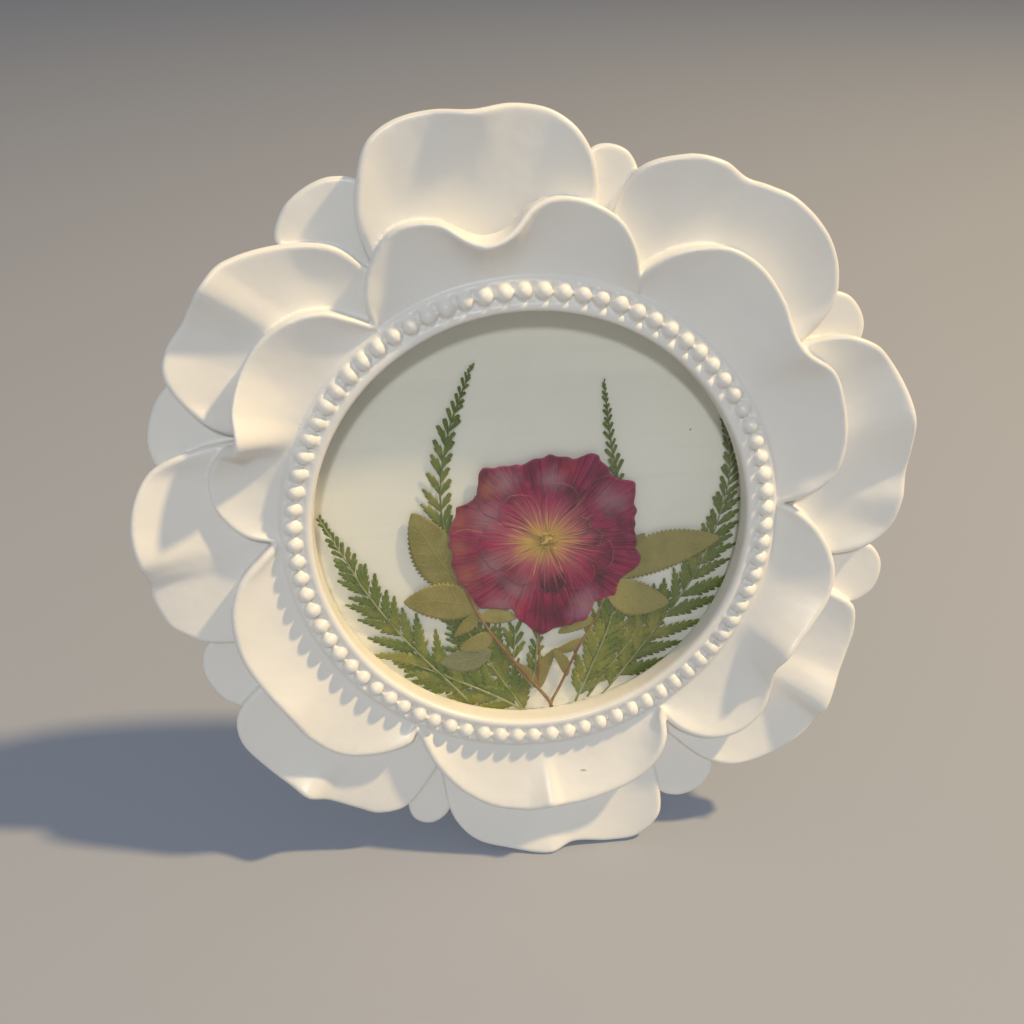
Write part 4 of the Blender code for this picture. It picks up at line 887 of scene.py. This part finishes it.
# ---------------------------------------------------------------- window
def eased_disc(radius, front, back, bevel):
    return turned_solid([(0, front), (radius - bevel, front), (radius, front - bevel),
                         (radius, back + bevel), (radius - bevel, back), (0, back)], DISC_STEPS)


def make_window(glass, card):
    pane = eased_disc(DISC_RADIUS, GLASS_FRONT, GLASS_BACK, 0.25)
    new_piece("window_pane", pane, glass, "glass_disc", sharp=30)
    sheet = eased_disc(CARD_RADIUS, CARD_FRONT, CARD_BACK, 0.08)
    new_piece("card_disc", sheet, card, "backing_card", sharp=30)


# ---------------------------------------------------------------- pressed plants
def plant_height(layer):
    return PLANT_BASE + LAYER_PITCH * layer


def new_leaf_mesh():
    bm = bmesh.new()
    bm.loops.layers.uv.new("surface")
    bm.loops.layers.color.new("tone")
    return bm


def laid(point):
    """Where a plant's point, measured through the glass, really lies; it ends at the pocket's wall."""
    point = point.copy()
    point.xy += (point.xy - EYE.xy) * DEEPER
    reach = point.xy.length
    if reach > DISC_RADIUS:
        point.xy = point.xy * (DISC_RADIUS / reach)
    return point


def leaf_sheet(bm, columns, rows, place, tone):
    """A sheet whose points come from place(across, along); across runs -1 to 1 and along 0 to 1."""
    made = bmesh.ops.create_grid(bm, x_segments=columns, y_segments=rows, size=0.5)["verts"]
    surface = bm.loops.layers.uv["surface"]
    tint = bm.loops.layers.color["tone"]
    faces = {face for vert in made for face in vert.link_faces}
    for face in faces:
        for loop in face.loops:
            loop[surface].uv = (loop.vert.co.x + 0.5, loop.vert.co.y + 0.5)
            loop[tint] = (*tone, 1.0)
    for vert in made:
        vert.co = laid(place(vert.co.x * 2, vert.co.y + 0.5))
    return faces


def left_of(direction):
    """The way to the left of a direction in the frame's plane, equally long."""
    return Vector((-direction.y, direction.x, 0))


def strip(bm, points, half_width, height, tone, taper):
    """A stem or midrib: a narrow crowned strip along a smooth line, in the piece's second material."""
    count = max(8, 4 * len(points))
    line = smooth_line([(*point, 0) for point in points], count + 1)

    def place(across, along):
        i = min(round(along * count), count)
        forward = (line[min(i + 1, count)] - line[max(i - 1, 0)]).normalized()
        side = left_of(forward) * across * half_width * (1 - (1 - taper) * along)
        return line[i] + side + UP * (height + STRIP_CROWN * (1 - across * across))

    for face in leaf_sheet(bm, STRIP_COLUMNS, count, place, tone):
        face.material_index = 1


def finish_leaf(name, bm, materials, node, thickness=LEAF_THICKNESS):
    """Turn a plant's sheets to face the window and give them their thickness."""
    bmesh.ops.recalc_face_normals(bm, faces=bm.faces)
    if sum(face.normal.z for face in bm.faces) < 0:
        bmesh.ops.reverse_faces(bm, faces=bm.faces)
    piece = new_piece(name, bm, materials[0], node)
    for material in materials[1:]:
        piece.data.materials.append(material)
    thick = piece.modifiers.new("thickness", "SOLIDIFY")
    thick.thickness = thickness * MM
    thick.offset = -1


def leaflet(bm, base, tip, half_width, bend, layer, tone, chance):
    """A toothed leaflet: teeth point to the tip, the blade lies flat with a slight crown."""
    base, tip = Vector((*base, 0)), Vector((*tip, 0))
    forward = tip - base
    left = left_of(forward).normalized()
    teeth = max(9, round(forward.length * TEETH_PER_MM))
    height = plant_height(layer) + chance.uniform(0.0, 0.12)
    wave = chance.uniform(0, 10)

    def place(across, along):
        # a full oval, widest a little below its middle
        blade = math.sin(math.pi * min(along, 0.999) ** 0.86) ** 0.72
        saw = (along * teeth + 1e-6) % 1.0
        toothed = 1 - TOOTH_DEPTH * (1 - saw) * (abs(across) > 0.99)
        side = across * half_width * blade * toothed
        bow = bend * math.sin(math.pi * along)
        lift = 0.05 * math.sin(wave + along * 7 + across * 2) - 0.04 * abs(across)
        return base + forward * along + left * (side + bow) + UP * (height + lift)

    leaf_sheet(bm, LEAFLET_COLUMNS, teeth * ROWS_PER_TOOTH, place, tone)


def make_sprig(name, materials, layer, stem_points, leaflets, tones, chance):
    """A stem with its toothed leaflets, grown as one."""
    bm = new_leaf_mesh()
    for (base, tip, half_width, bend), tone in zip(leaflets, tones):
        leaflet(bm, base, tip, half_width, bend, layer, tone, chance)
    strip(bm, stem_points[::-1], 0.40, plant_height(layer) + 0.1, (0.5, 0, 0), 0.6)
    finish_leaf(f"pressed_{name}", bm, materials, name)


def profile_value(values, share):
    """Read a row of values at a share of its length."""
    place = min(max(share, 0.0), 1.0) * (len(values) - 1)
    i = min(int(place), len(values) - 2)
    return values[i] + (values[i + 1] - values[i]) * (place - i)


def pinna(bm, root, direction, length, arch, height, tone, chance):
    """One pinna of a frond: a blade on a narrow foot, its edges cut into teeth that point forward.

    arch is how far its middle stands aside from the straight line, to the left of its direction.
    """
    teeth = max(2, round(length / TOOTH_PITCH))
    left = left_of(direction)
    half_width = (0.43 * length - 0.0095 * length * length) * 0.5
    twist = chance.uniform(-0.05, 0.05)
    # short pinnae are blunt and lightly cut, and those of 10 mm or more are slim and deeply cut
    long_share = min(1.0, max(0.0, (length - 3.0) / 7.0))
    widest = 0.62 - 0.30 * long_share
    tip_power = 0.50 + 0.20 * long_share
    cut = 0.30 + 0.16 * long_share
    # each tooth's three points: how far along it, how far out, and how far the edge leans ahead
    steps, reach, lead = (0.0, 0.42, 0.74), (1 - cut, 0.9, 1.0), (0.0, 0.16, 0.42)
    uneven = [chance.uniform(0.86, 1.12) for _ in range(teeth)]
    rows = teeth * len(steps)

    def place(across, along):
        tooth, step = divmod(min(round(along * rows), rows - 1), len(steps))
        share = (tooth + steps[step]) / teeth if along < 1 else 1.0
        if share < widest:
            blade = 0.22 + 0.78 * (share / widest) ** 0.9
        else:
            blade = ((1 - share) / (1 - widest)) ** tip_power
        on_edge = abs(across) > 0.99
        side = across * half_width * blade * (reach[step] * uneven[tooth] if on_edge else 1 - cut)
        ahead = share + (lead[step] / teeth if on_edge and along < 1 else 0.0)
        bow = arch * math.sin(math.pi * share)
        return (root + direction * min(ahead, 1.0) * length + left * (side + bow)
                + UP * (height + twist * across - 0.03 * abs(across)))

    leaf_sheet(bm, PINNA_COLUMNS, rows, place, tone)


def make_branch(bm, branch, spacing, spread, paleness, chance):
    """One midrib with its pinnae on either side."""
    layer, midrib, left, right, share_borne = branch
    steps = 160
    points = smooth_line([(*point, 0) for point in midrib], steps + 1)
    total = sum((after - before).length for before, after in zip(points, points[1:]))

    def at(distance):
        """The midrib's point at a distance from its tip, and the way to the tip there."""
        i = min(int(distance / total * steps), steps - 1)
        return points[i], (points[max(i - 3, 0)] - points[min(i + 3, steps)]).normalized()

    for side, lengths in ((1, left), (-1, right)):
        distance = 0.8 + 0.6 * (side > 0)   # the two sides' pinnae alternate
        while distance < total * share_borne:
            share = distance / total
            length = profile_value(lengths, share) * chance.uniform(0.82, 1.12)
            root, forward = at(distance)
            # the pinnae open out from the tip down
            angle = math.radians(spread * min(1.0, 0.55 + 2.2 * share) + chance.uniform(-4, 4)) * side
            direction = Matrix.Rotation(angle, 3, "Z") @ forward
            arch = -side * length * chance.uniform(0.0, 0.08)
            age = min(1.0, max(0.0, chance.gauss(0.25 + 0.45 * share, 0.11)))
            height = plant_height(layer) + chance.uniform(0, 0.12)
            pinna(bm, root, direction, length, arch, height, (age, 0, 0), chance)
            # short pinnae stand further apart for their length
            distance += 0.25 + spacing * length * (1 + 0.4 * max(0.0, 1 - length / 8))
    strip(bm, midrib[::-1], 0.28, plant_height(layer) + 0.14, (paleness, 0, 0), 0.45)


def make_frond(name, materials, chance):
    spacing, spread, branches = FRONDS[name]
    paleness = 0.15 if "upright" in name else 0.8
    bm = new_leaf_mesh()
    for branch in branches:
        make_branch(bm, branch, spacing, spread, paleness, chance)
    finish_leaf(f"pressed_{name}", bm, materials, name)


def rose_reach(degrees):
    """How far the pressed rose reaches from its centre in this direction."""
    way = Vector((math.cos(math.radians(degrees)), math.sin(math.radians(degrees))))
    found = 20.0                       # stands only if no side of the outline is met
    for i, corner in enumerate(ROSE_OUTLINE):
        first = Vector(corner) - ROSE_CENTRE.xy
        edge = Vector(ROSE_OUTLINE[(i + 1) % len(ROSE_OUTLINE)]) - ROSE_CENTRE.xy - first
        bottom = way.x * edge.y - way.y * edge.x
        if abs(bottom) < 1e-9:
            continue
        reach = (first.x * edge.y - first.y * edge.x) / bottom
        share = (first.x * way.y - first.y * way.x) / bottom
        if reach > 0 and -1e-6 <= share <= 1 + 1e-6:
            found = reach
    return found


def rose_creases(point):
    """Height of the rose's creases; all its petals share them, so that none cuts through another."""
    return 0.07 * noise.noise(point * 0.15)


def make_rose_petal(row, number, petals, first, last, reach_of, root_spread, height, tone, chance):
    """A crumpled flat petal from the rose's centre out to reach_of(angle)."""
    middle, half = (first + last) / 2, (last - first) / 2
    phase = chance.uniform(0, 20)
    sway = chance.uniform(-4, 4)

    def place(across, along):
        spread = root_spread + (1 - root_spread) * min(1.0, along * 1.4) ** 0.8
        degrees = middle + half * across * spread + sway * math.sin(math.pi * along)
        corner = max(0.0, abs(across) - 0.72) / 0.28
        nibble = 1 + ROSE_RAGGED * noise.noise(Vector((across * 3.1, phase, 0)))
        reach = reach_of(middle + half * across) * (1 - 0.10 * corner ** 2) * nibble
        radius = ROSE_HOLE + (reach - ROSE_HOLE) * along
        point = ROSE_CENTRE + Vector((*polar(radius, degrees), 0))
        return point + UP * (height + rose_creases(point))

    bm = new_leaf_mesh()
    leaf_sheet(bm, PETAL_COLUMNS, PETAL_ROWS, place, tone)
    finish_leaf(f"rose_leaf_{row}_{number:02d}", bm, [petals], f"rose_{row}_petal_{number:02d}",
                PETAL_THICKNESS)


def make_rose(petals, stamens):
    """Outer petals up to the measured outline, shorter inner petals over them, and the stamens."""
    chance = random.Random(21)
    lowest = plant_height(3) - 0.12
    for number, (first, last, stack) in enumerate(ROSE_OUTER, start=1):
        brown = 0.8 if 120 < (first + last) / 2 % 360 < 235 else 0.1
        tone = (chance.random(), chance.uniform(0.15, 0.5), brown)

        def outer_reach(degrees):
            """Past its own share of the outline, a petal tucks in under its neighbours."""
            past = max(0, first - degrees, degrees - last)
            return rose_reach(min(max(degrees, first), last)) * (1 - 0.012 * past)

        make_rose_petal("outer", number, petals, first - ROSE_OVERLAP, last + ROSE_OVERLAP, outer_reach,
                        0.9, lowest + PETAL_PITCH * stack, tone, chance)
    for number, (middle, reach, half, dark) in enumerate(ROSE_INNER, start=1):
        tone = (chance.random(), dark, 0.0)

        def inner_reach(degrees):
            return reach * (1 - 0.2 * ((degrees - middle) / half) ** 2)

        make_rose_petal("inner", number, petals, middle - half, middle + half, inner_reach, 0.45,
                        lowest + PETAL_PITCH * (len(ROSE_OUTER) + number), tone, chance)
    make_stamens(stamens, chance, lowest + 0.45)


def make_stamens(material, chance, height):
    """The flattened knot of styles and stamens in the middle of the rose."""
    bm = bmesh.new()
    for _ in range(STAMEN_COUNT):
        degrees = chance.uniform(0, 360)
        length = chance.uniform(1.0, 3.2)
        bead = chance.uniform(0.16, 0.30)
        tip = Vector((*polar(length, degrees), 0))
        made = bmesh.ops.create_cone(bm, segments=5, radius1=0.09, radius2=0.05, depth=length,
                                     cap_ends=True)["verts"]
        aim = tip.normalized().to_track_quat("Z", "Y").to_matrix().to_4x4()
        middle = laid(ROSE_CENTRE) + tip / 2 + UP * (height + chance.uniform(-0.02, 0.06))
        bmesh.ops.transform(bm, matrix=Matrix.Translation(middle) @ aim, verts=made)
        made = bmesh.ops.create_icosphere(bm, subdivisions=1, radius=bead)["verts"]
        place = Matrix.Translation(middle + tip / 2) @ Matrix.Diagonal((1.2, 0.9, 0.45, 1))
        bmesh.ops.transform(bm, matrix=place, verts=made)
    made = bmesh.ops.create_icosphere(bm, subdivisions=3, radius=1.0)["verts"]
    for vert in made:
        knobbly = 1 + 0.25 * noise.noise(vert.co * 3.2)
        vert.co = Vector((vert.co.x * knobbly, vert.co.y * 0.9 * knobbly, vert.co.z * 0.16))
    bmesh.ops.translate(bm, verts=made, vec=laid(ROSE_CENTRE) + UP * height)
    new_piece("rose_stamens", bm, material, "rose_centre")


def make_plants():
    chance = random.Random(5)
    petals, stamens = rose_petals(), stamen_surface()
    leaf = leaf_surface("pressed_rose_leaf", (0.20, 0.18, 0.045), (0.33, 0.285, 0.095),
                        (0.40, 0.35, 0.15), 8.0, 1.3, 0.30)
    fern = leaf_surface("pressed_fern", (0.085, 0.140, 0.014), (0.305, 0.275, 0.050),
                        (0.36, 0.37, 0.15), 5.0, 1.2, 0.25)
    stem, rib = stem_surface(), midrib_surface()
    for name in FRONDS:
        make_frond(name, [fern, rib], chance)
    for name, (layer, stem_points, leaflets, tones) in SPRIGS.items():
        make_sprig(name, [leaf, stem], layer, stem_points, leaflets, tones, chance)
    make_rose(petals, stamens)


# ---------------------------------------------------------------- fittings on the back
def soft_edged(name, node, material, body, width):
    """A CAD piece with its flat faces joined and its edges rounded, in a better finish."""
    bm = bmesh.new()
    bm.from_mesh(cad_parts[node].data)
    bmesh.ops.remove_doubles(bm, verts=bm.verts, dist=1e-6)
    bmesh.ops.dissolve_limit(bm, angle_limit=math.radians(1), verts=bm.verts, edges=bm.edges)
    piece = new_piece(name, bm, material, node, body, layout=Matrix.Identity(4), sharp=30)
    soften = piece.modifiers.new("soft_edges", "BEVEL")
    soften.width = width * MM
    soften.segments = 2
    soften.limit_method = "ANGLE"
    soften.angle_limit = math.radians(40)


def slotted_screw(name, node, way, sizes, material, body, turn):
    """A round-headed screw with a slot, where the plain CAD screw is.

    way is the screw's axis, and its head is at the end where the CAD screw is thickest.
    """
    head_radius, head_height, shank_radius, shank_length = sizes
    points = [vert.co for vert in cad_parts[node].data.vertices]
    depths = [point.dot(way) for point in points]
    if sum(depths) / len(depths) < (min(depths) + max(depths)) / 2:
        way = -way
    top = max(points, key=lambda point: point.dot(way))
    angles = [math.pi / 2 * step / 8 for step in range(9)]
    section = [(head_radius * math.sin(angle), head_height * (math.cos(angle) - 1)) for angle in angles]
    bottom = -head_height - shank_length
    section += [(shank_radius, -head_height), (shank_radius, bottom), (0, bottom)]
    worker = link_object(name, mesh_of(name, turned_solid(section, 32)))
    bm = bmesh.new()
    bmesh.ops.create_cube(bm, size=1.0)
    bmesh.ops.scale(bm, vec=(3 * head_radius, SCREW_SLOT, head_height), verts=bm.verts)
    blade = link_object("slot_cut", mesh_of("slot_cut", bm))
    cut = worker.modifiers.new("slot", "BOOLEAN")
    cut.operation = "DIFFERENCE"
    cut.object = blade
    cut.solver = "EXACT"
    bm = bmesh.new()
    bm.from_mesh(evaluated_mesh(worker))
    bpy.data.objects.remove(worker, do_unlink=True)
    bpy.data.objects.remove(blade, do_unlink=True)
    stand = (Matrix.Translation(top) @ way.to_track_quat("Z", "Y").to_matrix().to_4x4()
             @ Matrix.Rotation(turn, 4, "Z") @ Matrix.Scale(MM, 4))
    new_piece(name, bm, material, node, body, layout=stand, sharp=35)


def make_back(velvet, steel):
    """Board, strut, hinge, turn buttons and screws: the CAD's shapes with worn edges and slots."""
    chance = random.Random(3)
    soft_edged("velvet_board", "back_board", velvet, "root", 0.4)
    soft_edged("velvet_strut", "easel_strut", velvet, "strut", 0.5)
    soft_edged("steel_leaf_board", "hinge_leaf_board", steel, "root", 0.1)
    soft_edged("steel_leaf_strut", "hinge_leaf_strut", steel, "strut", 0.1)
    soft_edged("steel_pin", "hinge_pin", steel, "root", 0.2)
    backward = (LAYOUT.to_3x3() @ Vector((0, 0, -1))).normalized()
    strut_face = max(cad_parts["easel_strut"].data.polygons,
                     key=lambda face: face.area).normal.copy()
    for number in range(1, 5):
        soft_edged(f"steel_button_{number}", f"turn_button_{number}", steel,
                   f"button_{number}", 0.15)
        slotted_screw(f"steel_button_screw_{number}", f"button_screw_{number}", backward,
                      BUTTON_SCREW, steel, "root", chance.uniform(0, math.pi))
    for number in (1, 2):
        for part, way, body in (("board", backward, "root"), ("strut", strut_face, "strut")):
            slotted_screw(f"steel_{part}_screw_{number}", f"hinge_{part}_screw_{number}", way,
                          HINGE_SCREW, steel, body, chance.uniform(0, math.pi))


# ---------------------------------------------------------------- stage
def make_stage():
    """A plain floor and a dim, cool world."""
    bm = bmesh.new()
    bmesh.ops.create_grid(bm, x_segments=4, y_segments=4, size=6.0)
    floor = link_object("floor", mesh_of("floor", bm))
    floor.data.materials.append(floor_surface())
    world = bpy.data.worlds.new("studio")
    world.use_nodes = True
    set_inputs(world.node_tree, world.node_tree.nodes["Background"],
               {"Color": (0.90, 0.95, 1.0), "Strength": 0.27})
    bpy.context.scene.world = world
    bpy.context.scene.view_settings.view_transform = "Standard"


def add_light(name, way, distance, size, power, colour):
    """A round lamp, aimed at the middle of the window from that way."""
    light = bpy.data.lights.new(name, "AREA")
    light.shape = "DISK"
    light.size = size
    light.energy = power
    light.color = colour
    lamp = link_object(name, light)
    target = LAYOUT @ Vector((0, 0, 0))
    lamp.location = target + Vector(way).normalized() * distance
    lamp.rotation_euler = (target - lamp.location).to_track_quat("-Z", "Y").to_euler()


def make_camera():
    camera = bpy.data.cameras.new("camera")
    camera.lens = CAMERA_LENS
    camera.sensor_width = 36.0
    camera.clip_start = 0.01
    obj = link_object("camera", camera)
    obj.location = CAMERA_PLACE
    obj.rotation_euler = CAMERA_FORWARD.to_track_quat("-Z", "Y").to_euler()
    bpy.context.scene.camera = obj


make_casting(white_paint())
make_window(clear_glass(), card_stock())
make_plants()
make_back(black_velvet(), plated_steel())
make_stage()
for lamp_settings in LAMPS:
    add_light(*lamp_settings)
make_camera()
